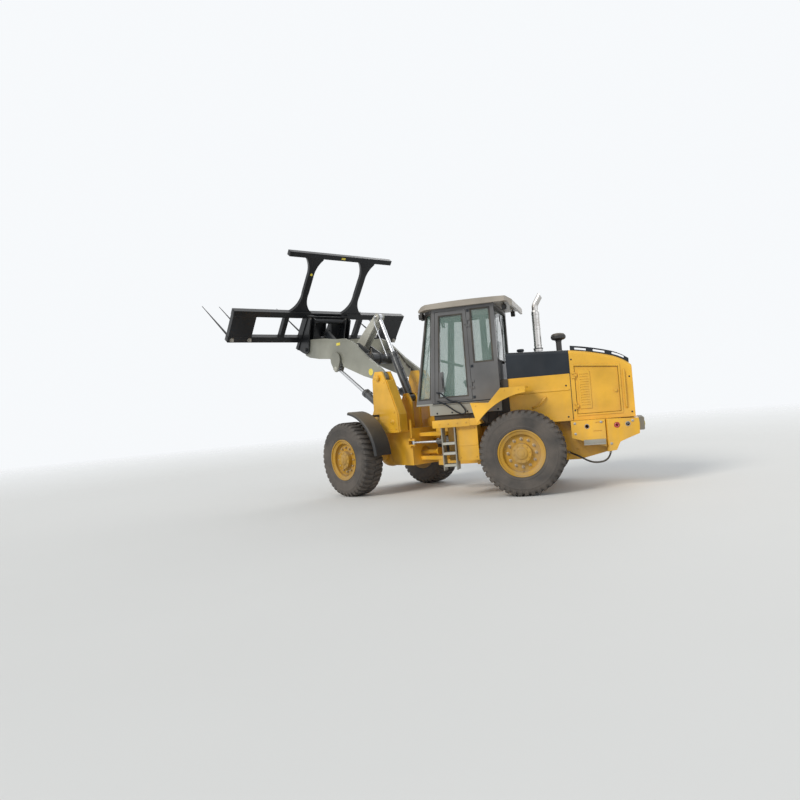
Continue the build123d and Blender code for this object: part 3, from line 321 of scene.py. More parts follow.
def rubber(name, colour, dust, dusty, scale=1.0):
    """Rubber with ground-in dust and a fine moulded grain."""
    finish = Finish(name)
    cloud = finish.noise(3.2 * scale, 6.0)
    grain = finish.noise(120.0 * scale, 3.0)
    patch = finish.ramp(cloud, (0.32, 0.15), (0.68, 1.0))
    coat = (patch * (0.5 + grain * 0.8) * dusty).held()
    base = finish.blend(coat, colour, dust)
    normal = finish.bump(grain + cloud * 0.6, 0.35, 0.003)
    return finish.shade(Base_Color=base, Roughness=(0.62 + coat * 0.3).held(), Normal=normal)


def plastic(name, colour, dust, dusty, rough):
    """Moulded plastic with a leathery grain and some dust on top."""
    finish = Finish(name)
    grain = finish.noise(160.0, 3.0)
    cloud = finish.noise(2.6, 5.0)
    lying = finish.ramp(finish.facing_up(), (0.2, 0.1), (0.95, 1.0))
    coat = (lying * finish.ramp(cloud, (0.3, 0.25), (0.7, 1.0)) * dusty * (0.6 + grain * 0.7)).held()
    base = finish.blend(coat, colour, dust)
    normal = finish.bump(grain, 0.2, 0.0015, finish.rounded(0.005))
    roughness = (rough + coat * 0.4 + (grain - 0.5) * 0.15).held()
    return finish.shade(Base_Color=base, Roughness=roughness, Normal=normal)


def pane(name, tint, alpha=0.3):
    """Tinted pane with faint wiping marks and dust toward its edge."""
    finish = Finish(name)
    cloud = finish.noise(1.3, 3.0)
    speck = finish.noise(90.0, 3.0)
    haze = (finish.ramp(cloud, (0.42, 0.0), (0.8, 1.0)) * (0.6 + speck * 0.4)).held()
    base = finish.blend(haze * 0.35, tint, SMEARED_GLASS)
    return finish.shade(Base_Color=base, Roughness=(0.03 + haze * 0.1).held(), Metallic=0.0,
                        Alpha=(alpha + haze * 0.1).held(), Coat_Weight=1.0, IOR=1.5)


def cast(name, colour, dust):
    """Rough casting with oil and dust."""
    finish = Finish(name)
    grain = finish.noise(70.0, 6.0)
    cloud = finish.noise(4.0, 4.0)
    base = finish.blend(finish.ramp(cloud, (0.35, 0.0), (0.7, 0.8)), colour, dust)
    return finish.shade(Base_Color=base, Roughness=(0.6 + grain * 0.3).held(), Metallic=0.3,
                        Normal=finish.bump(grain, 0.5, 0.004))


def cloth(name, colour):
    """Woven seat cover with a fine weave and worn patches."""
    finish = Finish(name)
    across, along = finish.bands("X", 160.0), finish.bands("Y", 160.0)
    patch = finish.ramp(finish.noise(6.0, 5.0), (0.4, 0.0), (0.75, 1.0))
    base = finish.blend((patch * 0.5 + across * along * 0.3).held(), colour, tuple(channel * 1.9 for channel in colour))
    return finish.shade(Base_Color=base, Roughness=0.85, Normal=finish.bump(across * along, 0.4, 0.001))


def lens(name, colour):
    """Moulded lens with a ribbed face."""
    finish = Finish(name)
    rib = finish.bands("Z", 55.0, 0.6)
    cloud = finish.noise(30.0, 3.0)
    base = finish.blend(finish.ramp(cloud, (0.4, 0.0), (0.8, 0.5)), colour, tuple(channel * 0.6 for channel in colour))
    return finish.shade(Base_Color=base, Roughness=(0.15 + cloud * 0.1).held(), Coat_Weight=1.0,
                        Normal=finish.bump(rib, 0.25, 0.002))


FINISHES = {}


def new_object(name, data):
    """A new object in the scene."""
    made = bpy.data.objects.new(name, data)
    bpy.context.scene.collection.objects.link(made)
    return made


def body_place(body):
    """Frame of a body's part of the machine: a wheel's is at its centre, with its outer face toward -Y."""
    if not body.startswith("wheel_"):
        return {"rear_chassis": REAR, "cab_door": REAR, "spear_frame": TOOL}.get(body, FRONT)
    front, left = "front" in body, body.endswith("left")
    x, y = -AXLE_BEHIND if front else AXLE_BEHIND, -HALF_TRACK if left else HALF_TRACK
    middle = Matrix.Translation(Vector((x, y, TYRE_RADIUS)) / 1000)
    return (FRONT if front else REAR) @ middle @ Matrix.Diagonal((1, 1 if left else -1, 1, 1))


def circle(middle, first, second, radius, steps, turn=0.0):
    """Places round a middle, in the plane of two directions."""
    angles = (turn + 2 * math.pi * n / steps for n in range(steps))
    return [middle + (first * math.cos(angle) + second * math.sin(angle)) * radius for angle in angles]


def square_to(axis):
    """A unit axis and two directions square to it."""
    axis = Vector(axis).normalized()
    side = axis.orthogonal().normalized()
    return axis, side, axis.cross(side)


class Form:
    """A mesh of turned, drawn and flat shapes, in millimetres and in the frame of the body that it rides on."""

    def __init__(self, body="rear_chassis"):
        self.mesh = bmesh.new()
        self.body = body
        self.place = body_place(body)
        self.weld = bpy.context.scene.loader_sizes.weld * 1000

    def piece(self, name, key, slot=None, smooth=SMOOTH_DEGREES):
        """Ends the form as a named piece with a finish."""
        data = bpy.data.meshes.new(name)
        bmesh.ops.recalc_face_normals(self.mesh, faces=self.mesh.faces[:])
        self.mesh.to_mesh(data)
        self.mesh.free()
        data.materials.append(FINISHES[key])
        made = new_object(name, data)
        if smooth:
            data.shade_smooth()
            data.set_sharp_from_angle(angle=math.radians(smooth))
        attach(made, self.body)
        return made

    def skin(self, rings, wrap=False):
        """Skins rings of equal length, then closes both ends or joins the last ring to the first."""
        rows = [[self.mesh.verts.new(self.place @ (Vector(point) / 1000)) for point in ring] for ring in rings]
        for first, second in zip(rows, rows[1:] + rows[:1] if wrap else rows[1:]):
            for n in range(len(first)):
                after = (n + 1) % len(first)
                self.mesh.faces.new((first[n], first[after], second[after], second[n]))
        if not wrap:
            self.mesh.faces.new(rows[0])
            self.mesh.faces.new(rows[-1])

    def lathe(self, at, axis, profile, steps=24, wrap=False, turn=0.0):
        """Turns a profile of (radius, distance along) about an axis through a place."""
        axis, side, other = square_to(axis)
        self.skin([circle(Vector(at) + axis * along, side, other, radius, steps, turn) for radius, along in profile],
                  wrap)

    def tube(self, points, radius, steps=8, loop=False, ripple=0.0):
        """Round bar through places, with two ends or as a loop."""
        places = [Vector(point) for point in points]
        rings = []
        guide = (places[1] - places[0]).orthogonal().normalized()
        for n, place in enumerate(places):
            before = places[n - 1] if n or loop else place
            after = places[(n + 1) % len(places)] if n + 1 < len(places) or loop else place
            ahead = (after - before).normalized()
            guide = (guide - ahead * guide.dot(ahead)).normalized()
            size = radius * (1 + (ripple if n % 2 else -ripple))
            rings.append(circle(place, guide, ahead.cross(guide), size, steps))
        self.skin(rings, loop)

    def prism(self, outline, near, far, bevel=2.0):
        """Plate on edge with softened edges, from an outline of (x, z) between two distances right of centre."""
        known = set(self.mesh.edges)
        self.skin([[(x, y, z) for x, z in outline] for y in sorted((near, far))])
        fresh = [edge for edge in self.mesh.edges if edge not in known]
        bmesh.ops.bevel(self.mesh, geom=fresh, offset=bevel / 1000, segments=2, profile=0.6, affect="EDGES")

    def block(self, low, high, bevel=2.0):
        """Box between two corners, its edges softened."""
        (x0, y0, z0), (x1, y1, z1) = low, high
        self.prism([(x0, z0), (x1, z0), (x1, z1), (x0, z1)], y0, y1, bevel)

    def bolt(self, at, axis, across=24, tall=12):
        """Hexagon head on its washer."""
        half = across / 2
        self.lathe(at, axis, [(half * 1.35, 0), (half * 1.35, 2.5), (half * 1.2, 3)], 16)
        self.lathe(at, axis, [(half * 1.1, 2.8), (half * 1.1, tall - 1.5), (half * 0.85, tall)], 6)

    def bolt_ring(self, at, axis, radius, count, across=20, tall=10):
        """Bolts evenly round an axis."""
        axis, side, other = square_to(axis)
        for place in circle(Vector(at), side, other, radius, count):
            self.bolt(place, axis, across, tall)

    def side_bolts(self, reach, places, across, tall):
        """Bolts on both sides at places of (x, z)."""
        for side in (-1, 1):
            for x, z in places:
                self.bolt((x, side * reach, z), Y * side, across, tall)

    def bead(self, start, end, share=1.0):
        """Weld bead with its ripples along a line."""
        start, end = Vector(start), Vector(end)
        count = max(6, round((end - start).length / BEAD_STEP))
        places = [start.lerp(end, n / count) for n in range(count + 1)]
        self.tube(places, self.weld * share, BEAD_SIDES, ripple=BEAD_RIPPLE)

    def bead_ring(self, at, reach, steps):
        """Weld bead round an axis that lies across the machine."""
        self.tube(circle(Vector(at), X, Z, reach, steps), self.weld, BEAD_SIDES, loop=True, ripple=BEAD_RIPPLE)

    def studs(self, low, high, gap):
        """Anti-slip studs over a level plate, each second row shifted by half a gap."""
        (x, y0, z), (x1, y1, _) = low, high
        shift = 0
        while x <= x1:
            y = y0 + shift
            while y <= y1:
                self.lathe((x, y, z), Z, [(8, -0.5), (7, 2), (4.5, 4)], 6, turn=0.5)
                y += gap
            shift = gap / 2 - shift
            x += gap * 0.85


def wall_corners(opening, play, depth):
    """Corners of a cab opening, drawn in along its wall and set back from its face."""
    wall, start, end, width, low, high = opening
    places = []
    for height, order in ((low + play, 1), (high - play, -1)):
        lean = (height - CAB_Z) / CAB_HEIGHT
        side = [(x + shift * lean, y) for x, shift, y in CAB_PLAN]
        plan = [Vector((x, y, height)) for x, y in side + [(x, -y) for x, y in reversed(side)]]
        first, last = plan[wall], plan[(wall + 1) % 6]
        along = (last - first).normalized()
        inward = along.cross(Z)
        near = first + along * start if start else last - along * (end + width)
        far = near + along * width if width else last - along * end
        pair = [near + along * play + inward * depth, far - along * play + inward * depth]
        places += pair[::order]
    return places


def seal(form, opening, outer, inner, front, back):
    """Rubber section round a cab opening."""
    section = ((outer, front), (inner, front + 4), (inner, back), (outer, back))
    form.skin(zip(*(wall_corners(opening, play, depth) for play, depth in section)), wrap=True)


class PieceOperator(bpy.types.Operator):
    """Shared settings of the loader's operators."""

    bl_options = {"REGISTER", "UNDO"}


class LOADER_OT_finishes(PieceOperator):
    """Make the finishes and put them on the carried-over nodes"""

    bl_idname = "loader.finishes"
    bl_label = "Finishes"

    def execute(self, context):
        colours = context.scene.loader_colours
        tone = {name: tuple(getattr(colours, name)) for name in LoaderColours.__annotations__}
        dust = tone["dust"]
        # The rims' yellow is darkened to paint the shade in their deep wells.
        shaded_rim_yellow = tuple(channel * 0.62 for channel in tone["yellow"])
        # Enamels: key, material, colour, how dusty, how rough, how worn, and what differs from the rest.
        for key, name, colour, dusty, rough, worn, more in (
                ("yellow", "yellow_enamel", tone["yellow"], 0.42, 0.36, 0.7, {}),
                ("rim", "rim_enamel", shaded_rim_yellow, 0.9, 0.55, 0.8, {"edge": 0.004, "gloss": 0.0, "sheen": 0.4}),
                # The charcoal's lighter foot below 1.528 m is painted sunlight.
                ("charcoal", "charcoal_enamel", tone["charcoal"], 0.35, 0.42, 0.5,
                 {"sunlit_lower": (tone["cab_base"], 1.528)}),
                # The boom's lightened grey is painted sunlight.
                ("boom", "boom_enamel", tone["boom"], 0.35, 0.42, 0.9, {}),
                ("barrel", "barrel_enamel", tone["barrel"], 0.4, 0.4, 0.9, {}),
                ("roof", "roof_shell", (0.34, 0.3, 0.25), 0.7, 0.5, 0.3, {}),
                ("black", "spear_enamel", tone["black"], 0.08, 0.3, 0.9, {"edge": 0.005, "gloss": 0.1, "sheen": 0.3}),
                ("satin", "satin_black", tone["satin"], 0.12, 0.42, 0.6, {"gloss": 0.06, "sheen": 0.28}),
                ("base", "base_grey", tone["cab_base"], 0.6, 0.5, 0.5, {}),
                # The pale grey is partly painted sunlight, on the bellcrank's sunlit arm.
                ("pale", "crank_grey", (0.46, 0.45, 0.39), 0.3, 0.45, 0.8, {})):
            FINISHES[key] = paint(name, colour, dust, dusty, rough, worn, **more)
        FINISHES.update({
            # The dark liner is partly a real liner and partly stands for the shade behind the fenders.
            "liner": plastic("liner_rubber", (0.03, 0.026, 0.022), dust, 0.9, 0.7),
            "plastic": plastic("fender_plastic", (0.02, 0.021, 0.023), dust, 0.5, 0.42),
            "tyre": rubber("tyre_rubber", tone["rubber"], TYRE_DUST, 0.85),
            "hose": rubber("hose_rubber", (0.012, 0.012, 0.013), dust, 0.25, 3.0),
            "seal": rubber("seal_rubber", (0.016, 0.016, 0.017), dust, 0.2, 2.0),
            "chrome": bare_chrome("rod_chrome", (0.6, 0.61, 0.63), 0.2),
            "stack": bare_chrome("stack_chrome", (0.62, 0.6, 0.58), 0.16),
            "steel": bare_chrome("plated_steel", (0.42, 0.4, 0.36), 0.32),
            "glass": pane("cab_glass", tone["glass"]),
            "casting": cast("engine_casting", (0.03, 0.03, 0.03), dust),
            "cloth": cloth("seat_cloth", (0.05, 0.052, 0.056)),
            "red_lens": lens("red_lens", (0.45, 0.02, 0.015)),
            "amber_lens": lens("amber_lens", (0.85, 0.68, 0.04)),
            "clear_lens": lens("clear_lens", (0.75, 0.77, 0.78)),
        })
        groups = {
            "yellow": "rear_frame rear_axle counterweight hood_front engine_hood engine_door_left engine_door_right "
                      "rear_fenders side_platforms front_frame front_axle boom_towers",
            "base": "tail_box ladders",
            "pale": "bellcrank",
            "red_lens": "tail_lamps",
            "rim": " ".join("rim_" + corner for corner in CORNERS),
            "charcoal": "cab_shell cab_door",
            "boom": "boom_arms",
            "barrel": "boom_crosstube tilt_link lift_barrels tilt_barrel steer_barrel_left steer_barrel_right",
            "roof": "cab_roof",
            "black": "coupler frame_rails frame_posts uprights top_bar spears",
            "satin": "hood_cover rear_grille guard_rails door_rail",
            "tyre": " ".join("tyre_" + corner for corner in CORNERS),
            "hose": "boom_hoses drain_hose",
            "plastic": "front_fenders precleaner work_lamps mirrors cab_interior",
            "chrome": "tilt_rod lift_rods steer_rod_left steer_rod_right",
            "stack": "exhaust_stack",
            "glass": "cab_glass door_glass",
            "casting": "engine_block",
        }
        for key, nodes in groups.items():
            for node in nodes.split():
                materials = frame["nodes"][node].data.materials
                materials.clear()
                materials.append(FINISHES[key])
        return {"FINISHED"}


def lug(form, side, angle):
    """One tread bar from the middle of the tread over the shoulder, swept forward."""
    rings = []
    for distance, top, foot, sweep, share in LUG_SECTIONS:
        ring = []
        for radius, spread in ((foot, -1.25), (top, -0.92), (top, 0.92), (foot, 1.25)):
            turn = angle + sweep + spread * share * LUG_HALF_WIDTH / radius
            ring.append((radius * math.sin(turn), side * distance, -radius * math.cos(turn)))
        rings.append(ring)
    form.skin(rings)


class LOADER_OT_tyres(PieceOperator):
    """Tyres with their staggered lugs, ribbed walls and beads"""

    bl_idname = "loader.tyres"
    bl_label = "Tyres"

    def execute(self, context):
        count = context.scene.loader_sizes.lug_count
        profile = [(radius, -distance) for radius, distance in TYRE_WALL] + list(reversed(TYRE_WALL))
        for corner in CORNERS:
            form = Form("wheel_" + corner)
            form.lathe((0, 0, 0), Y, profile, 120, wrap=True)
            for n in range(count):
                for side, shift in ((-1, 0.0), (1, 0.5)):
                    lug(form, side, 2 * math.pi * (n + shift) / count)
            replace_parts(form.piece("treaded_tyre_" + corner, "tyre", smooth=28), "tyre_" + corner)
        return {"FINISHED"}


class LOADER_OT_hubs(PieceOperator):
    """Bolts, plugs and valves on the hubs and rims"""

    bl_idname = "loader.hubs"
    bl_label = "Hubs"

    def execute(self, context):
        for corner in CORNERS:
            form, studs = Form("wheel_" + corner), Form("wheel_" + corner)
            form.bolt_ring((0, -190, 0), -Y, 124, 10, 22, 12)
            form.lathe((0, -222, 0), -Y, [(52, -1), (52, 5), (44, 9), (20, 10)], 28)
            form.bolt_ring((0, -213, 0), -Y, 34, 3, 12, 8)
            form.bolt((0, -206, 84), -Y, 20, 8)
            valve = (0, -172, -290)
            form.tube([(0, -118, -268), (0, -134, -272), (0, -150, -284), valve], 5)
            form.lathe(valve, -Y, [(7, 0), (7, 12), (4, 14)], 12)
            form.piece("hub_bolts_" + corner, "rim")
            for place in circle(-Y * 133, X, Z, 215, 12):
                studs.lathe(place, -Y, [(11, 0), (11, 14), (8, 17)], 14)
                studs.lathe(place, -Y, [(24, -20), (24, -17), (21, -16)], 18)
            studs.piece("wheel_studs_" + corner, "steel")
        return {"FINISHED"}


class LOADER_OT_hose(PieceOperator):
    """Hose that hangs in a loop below the rear weight, with its crimped ends"""

    bl_idname = "loader.hose"
    bl_label = "Hanging hose"

    def execute(self, context):
        sleeves = Form()
        for end, inner in (HOSE_ROUTE[:2], HOSE_ROUTE[:-3:-1]):
            sleeves.lathe(end, Vector(inner) - Vector(end),
                          [(13, 1), (18, 2), (19, 14), (17, 16), (19, 18), (19, 40), (15, 44)], 20)
        ends = sleeves.piece("hose_sleeves", "steel", "chrome_rods")
        line = bpy.data.curves.new("hanging_hose", "CURVE")
        line.dimensions = "3D"
        line.bevel_depth = 0.014
        line.bevel_resolution = 5
        line.use_fill_caps = True
        spline = line.splines.new("NURBS")
        spline.points.add(len(HOSE_ROUTE) - 1)
        for point, place in zip(spline.points, HOSE_ROUTE):
            point.co = (*(REAR @ (Vector(place) / 1000)), 1)
        spline.order_u = 3
        spline.use_endpoint_u = True
        spline.resolution_u = 16
        line.materials.append(FINISHES["hose"])
        piece = new_object("hanging_hose", line)
        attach(piece, "rear_chassis")
        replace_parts(piece, "drain_hose")
        return {"FINISHED"}


class LOADER_OT_cab_trim(PieceOperator):
    """Window seals, lamp lenses, wipers, sill trim and the mirrors' glass"""

    bl_idname = "loader.cab_trim"
    bl_label = "Cab trim"

    def execute(self, context):
        seals, door = Form(), Form("cab_door")
        for opening in WINDOWS:
            seal(seals, opening, 1, 26, -3, 20)
        seals.piece("window_seals", "seal", smooth=20)
        seal(door, DOORWAY, 60, 82, -2, 20)
        door.piece("door_seal", "seal", smooth=20)

        bezels, lenses = Form(), Form()
        for x, y, out in ((-145, 470, -X), (-145, 330, -X), (1320, 560, X)):
            for side in (-1, 1):
                lamp = (x, side * y, WORK_LAMP_Z)
                bezels.lathe(lamp, out, [(38, -2), (41, 0), (41, 6), (36, 8), (35, 2), (35, -2)], 28, wrap=True)
                lenses.lathe(lamp, out, [(35.5, -1), (35.5, 2), (27, 5), (12, 6.5)], 28)
        bezels.piece("lamp_bezels", "plastic")
        lenses.piece("lamp_lenses", "clear_lens")

        wipers = Form()
        near, far, *_ = wall_corners(WINDOWS[2], -34, -10)
        base = near.lerp(far, 0.5)
        first, second, third, fourth = wall_corners(WINDOWS[2], 0, 8)
        middle, crown = (first + second) / 2, (third + fourth) / 2
        wipers.lathe(base, (-1, 0, 0.18), [(22, -14), (24, 0), (16, 12)], 16)
        wipers.tube([base, middle.lerp(crown, 0.08) - X * 14, middle.lerp(crown, 0.52)], 6)
        wipers.tube([middle.lerp(crown, 0.28), middle.lerp(crown, 0.8)], 6)
        foot, elbow = (REAR_WIPER_X, -120, 2120), (REAR_WIPER_X, -60, 2520)
        wipers.lathe(foot, X, [(20, -18), (22, 0), (14, 10)], 16)
        wipers.tube([foot, elbow], 7)
        for y in (-190, 70):
            wipers.tube([elbow, (REAR_WIPER_X, y, 2880)], 6)
        wipers.tube([(1152, -210, 2800), (1152, -180, 2920)], 5)
        wipers.piece("wipers", "plastic")

        trim, glass = Form(), Form()
        trim.side_bolts(700, [(x, 1362) for x in (80, 330, 580, 850, 1080)], 22, 10)
        for z in (1560, 2060, 2960):
            trim.block((700, -725, z), (742, -CAB_Y, z + 44), 1.0)
        face = ((-84, -30), (-64, -48), (64, -48), (84, -30), (84, 30), (64, 48), (-64, 48), (-84, 30))
        for side in (-1, 1):
            trim.block((24, side * 724 - 3, 1512), (1134, side * 724 + 3, 1530), 1.5)
            glass.skin([[(x, side * 330 + across, 2920 + up) for across, up in face] for x in (81.5, 84.5)])
        trim.piece("cab_sill_trim", "satin")
        glass.piece("mirror_glass", "chrome")
        return {"FINISHED"}


def pad_shape(form, centre, size, lean, channels, crown):
    """Crowned cushion with sewn channels: its sides pull in between the corners."""
    across, deep, thick = (length / 2 for length in size)
    turn = Matrix.Rotation(lean, 3, "Y")
    rows, columns = 18, 22
    seam_depth, seam_width, pinch = 0.16, 0.12, 0.05
    rings = []
    for i in range(rows + 1):
        u = -1 + 2 * i / rows
        ring = []
        for j in range(columns * 2):
            upper = j < columns
            v = -1 + 2 * (j if upper else 2 * columns - 1 - j) / (columns - 1)
            squeeze = (1 - abs(u) ** 4) ** 0.5 * (1 - abs(v) ** 4) ** 0.5
            if upper:
                seam = 1 - seam_depth * math.exp(-((((u * channels) % 1) - 0.5) / seam_width) ** 2)
                height = crown * squeeze * seam + thick * 0.2
            else:
                height = -thick * min(1, squeeze * 3)
            x = u * deep * (1 - pinch * (1 - v * v) ** 2)
            y = v * across * (1 - pinch * (1 - u * u) ** 2)
            ring.append(Vector(centre) + turn @ Vector((x, y, height)))
        rings.append(ring)
    form.skin(rings)


class LOADER_OT_seat(PieceOperator):
    """Upholstery of the operator's seat and the soft rim of its wheel"""

    bl_idname = "loader.seat"
    bl_label = "Seat"

    def execute(self, context):
        # Pads: name, centre, width, depth and thickness, lean in degrees, channels, crown.
        for name, centre, size, lean, channels, crown in (
                ("seat_cushion", (705, 0, 1845), (530, 480, 110), 0, 3, 62),
                ("seat_back", (962, 0, 2195), (500, 690, 130), -78, 4, 74)):
            form = Form()
            pad_shape(form, centre, size, math.radians(lean), channels, crown)
            form.piece(name, "cloth", smooth=60)
        grip = Form()
        axle = Vector((0.35, 0, 1)).normalized()
        grip.tube(circle(Vector((245, 0, 2200)), Y, axle.cross(Y), 190, 48), 16.5, 10, loop=True, ripple=0.02)
        grip.piece("wheel_grip", "seal", "black_plastic")
        return {"FINISHED"}


class LOADER_OT_hood_trim(PieceOperator):
    """Handles, vents, caps, seams and rear lamps of the hood and the rear weight"""

    bl_idname = "loader.hood_trim"
    bl_label = "Hood trim"

    def execute(self, context):
        bright, dark = Form(), Form()
        for side in (-1, 1):
            # Handles: x, how far it stands off the hood, z.
            for radius, path in ((13, ((3035, 0, 1225), (3035, 26, 1250), (3035, 28, 1520), (3035, 26, 1790),
                                       (3035, 0, 1815))),
                                 (14, ((1621, 0, 1331), (1640, 30, 1336), (1716, 38, 1362), (1782, 38, 1426),
                                       (1828, 30, 1478), (1838, 0, 1488)))):
                bright.tube([(x, side * (HOOD_Y + off), z) for x, off, z in path], radius, 12)
            face = side * HOOD_Y
            dark.block((HOOD_SEAM_X[0], face - 5, 1100), (HOOD_SEAM_X[1], face + 1.5, 2140), 0.8)
        bright.piece("hood_handles", "yellow")
        dark.side_bolts(HOOD_Y, ((1330, 1640), (1330, 1230), (2160, 1640), (2160, 1150), (2268, 1240), (2268, 2040),
                                    (3110, 1160), (3110, 1700)), 20, 8)
        dark.lathe((1458, -250, 2232), Z, [(44, 0), (44, 30), (60, 32), (60, 62), (52, 72), (20, 76)], 24)
        dark.lathe((*STACK, 2286), Z, [(80, -4), (80, 8), (70, 12)], 28)
        for y in range(-480, 481, 30):
            dark.tube([(GRILLE_X, y, 1215), (GRILLE_X, y, 1735)], 3.0, 6)
        for z in range(1230, 1730, 45):
            dark.tube([(GRILLE_X - 3, -485, z), (GRILLE_X - 3, 485, z)], 3.0, 6)
        dark.piece("hood_fittings", "satin")

        clamps = Form()
        for z in (2330, 2600, 2840):
            clamps.lathe((*STACK, z), Z, [(62, 0), (65, 2), (65, 24), (62, 26)], 32)
            clamps.bolt((STACK[0], STACK[1] - 68, z + 13), X, 12, 22)
        for n in range(6):
            clamps.lathe((*STACK, 2660 + 24 * n), Z, [(61.5, 0), (64, 5), (61.5, 10)], 32)
        clamps.piece("stack_clamps", "stack")

        intake = Form()
        for base in circle(Vector((*INTAKE, 2440)), X, Y, 117, 18):
            intake.tube([base, base + Z * 30], 4, 6)
        intake.lathe((*INTAKE, 2216), Z, [(47, 0), (64, 2), (64, 14), (47, 18)], 24)
        intake.lathe((*INTAKE, 2380), Z, [(46, 0), (52, 3), (52, 20), (46, 23)], 24)
        intake.piece("intake_ribs", "plastic")

        red, amber, weight = Form(), Form(), Form()
        weight.side_bolts(WEIGHT_Y, ((2250, 1040), (2250, 880), (2640, 1040), (2770, 700), (3100, 1030)), 30, 12)
        for side in (-1, 1):
            red.lathe((STOP_LAMP_X, side * 210, STOP_LAMP_Z), X, [(46, -1), (46, 5), (36, 10), (14, 12)], 28)
            amber.lathe((STOP_LAMP_X, side * 320, STOP_LAMP_Z), X, [(42, -1), (42, 5), (32, 10), (12, 12)], 28)
            for radius in (30, 18):
                red.lathe((TAIL_LAMP_X, side * 756, 978), Y * side,
                          [(radius, -0.5), (radius + 3, 1.5), (radius, 2.5), (radius - 3, 1)], 24)
            for x in TIE_HOLES_X:
                weight.lathe((x, side * WEIGHT_Y, 985), Y * side, [(30, 0), (38, 0.5), (38, 4), (29, 4.5)], 28,
                             wrap=True)
            weight.studs((2380, side * 776 - 16, 722), (2680, side * 776 + 16, 722), 30)
        red.piece("stop_lenses", "red_lens")
        amber.piece("turn_lenses", "amber_lens")
        weight.piece("weight_fittings", "steel")
        return {"FINISHED"}


class LOADER_OT_liners(PieceOperator):
    """Mud guards inside the rear fenders, the skirt below the cab and the tails of the deck; the dark guards and skirt
    also stand for the shade behind the fenders and below the cab
    """

    bl_idname = "loader.liners"
    bl_label = "Liners"

    def execute(self, context):
        guard = [(662, 1100), (1262, 1100), (1262, 1826), (1144, 1826), (1144, 1336), (662, 1336)]
        skirt = [(24, 1252), (650, 1252), (700, 1140), (1136, 1140), (1136, 1334), (24, 1334)]
        tail = [(655, 1249), (790, 1249), (842, 1178), (846, 1160), (800, 1140), (655, 1140)]
        form, front, tails = Form(), Form(), Form()
        for side in (-1, 1):
            form.prism(guard, side * 628, side * 640)
            form.prism(skirt, side * 655, side * 668)
            for x in (690, 880, 1070):
                form.block((x, side * 668, 1150), (x + 26, side * 690, 1320))
            tails.prism(tail, side * 742, side * DECK_Y, 5)
        front.block((18, -668, 1256), (26, 668, 1334))
        form.piece("arch_liners", "liner")
        front.piece("cab_skirt_front", "liner")
        tails.piece("deck_tails", "yellow")
        return {"FINISHED"}


class LOADER_OT_treads(PieceOperator):
    """Studs and edges of the deck and of the ladders' treads"""

    bl_idname = "loader.treads"
    bl_label = "Treads"

    def execute(self, context):
        gap = context.scene.loader_sizes.stud_gap * 1000
        form, edge, steps = Form(), Form(), Form()
        for side in (-1, 1):
            inner, outer = sorted((side * 735, side * 1015))
            form.studs((85, inner, DECK_Z), (640, outer, DECK_Z), gap)
            edge.block((62, side * DECK_Y - 4, 1132), (660, side * DECK_Y + 4, DECK_Z + 2))
            edge.block((430, side * LADDER_Y - 3, 820), (760, side * LADDER_Y + 4, 850))
            for z, inset in LADDER_TREADS:
                inner, outer = sorted((side * (800 + inset), side * (LADDER_Y + 50)))
                steps.studs((228, inner, z + 15), (385, outer, z + 15), gap * 0.85)
                steps.block((206, side * (LADDER_Y + 60) - 3, z - 22), (399, side * (LADDER_Y + 60) + 3, z + 18))
        edge.side_bolts(DECK_Y + 4, [(x, 1190) for x in (180, 320, 470, 610)], 18, 8)
        edge.side_bolts(LADDER_Y, ((470, 640), (720, 640), (470, 1090), (720, 1090)), 18, 8)
        form.piece("tread_studs", "yellow", smooth=0)
        edge.piece("deck_edges", "yellow")
        steps.piece("step_edges", "pale", smooth=0)
        return {"FINISHED"}


def pin_head(form, place, side, radius):
    """Chamfered pin end with its keeper plate, bolt and grease nipple."""
    x, y, z = place
    out = Y * side
    form.lathe(place, out, [(radius * 1.35, 0), (radius * 1.35, 5), (radius * 1.25, 7)], 28)
    form.lathe(place, out, [(radius, 6), (radius, 12), (radius * 0.85, 15)], 28)
    form.block((x - radius * 1.9, y, z - radius * 0.32), (x - radius * 0.95, y + side * 8, z + radius * 0.32), 1.5)
    form.bolt((x - radius * 1.6, y + side * 7, z), out, 15, 9)
    form.lathe((x, y + side * 14, z), out, [(5, 0), (5, 3), (3.5, 5), (4.5, 9), (2.5, 12)], 10)


class LOADER_OT_pins(PieceOperator):
    """Ends of the pins of the boom, the bellcrank, the tool and the steering joint"""

    bl_idname = "loader.pins"
    bl_label = "Pins"

    def execute(self, context):
        # Body, finish, slot, and its pins: name, distance right of centre, radius.
        for body, key, slot, pins in (
                ("front_chassis", "yellow", "yellow_paint", (("boom", 575, 42), ("lift_foot", 545, 34),
                                                             ("tilt_foot", 108, 32))),
                ("boom", "pale", "boom_grey", (("lift_rod", 514, 36), ("bellcrank", 126, 42))),
                ("bellcrank", "steel", "light_grey", (("bellcrank_top", 75, 32), ("link_rear", 75, 32)))):
            form = Form(body)
            for name, reach, radius in pins:
                for side in (-1, 1):
                    pin_head(form, (PINS[name][0], side * reach, PINS[name][1]), side, radius)
            form.piece("pin_ends_" + body, key, slot)
        tool, joint = Form("spear_frame"), Form()
        for side in (-1, 1):
            pin_head(tool, (0, side * 525, 0), side, 32)
            pin_head(tool, (-161, side * 75, 305), side, 30)
        tool.piece("pin_ends_spear_frame", "black")
        for z, up in ((1130, 1), (470, -1)):
            joint.lathe((0, 0, z), Z * up, [(78, 0), (78, 8), (70, 11)], 32)
            joint.bolt_ring((0, 0, z + up * 9), Z * up, 52, 6, 18, 10)
        joint.piece("pivot_caps", "yellow")
        return {"FINISHED"}


def pin_line(foot, far, y):
    """Two pins' places at a distance right of centre, and the direction from one to the other."""
    (x0, z0), (x1, z1) = PINS[foot], PINS[far]
    base, tip = Vector((x0, y, z0)), Vector((x1, y, z1))
    return base, tip, (tip - base).normalized()


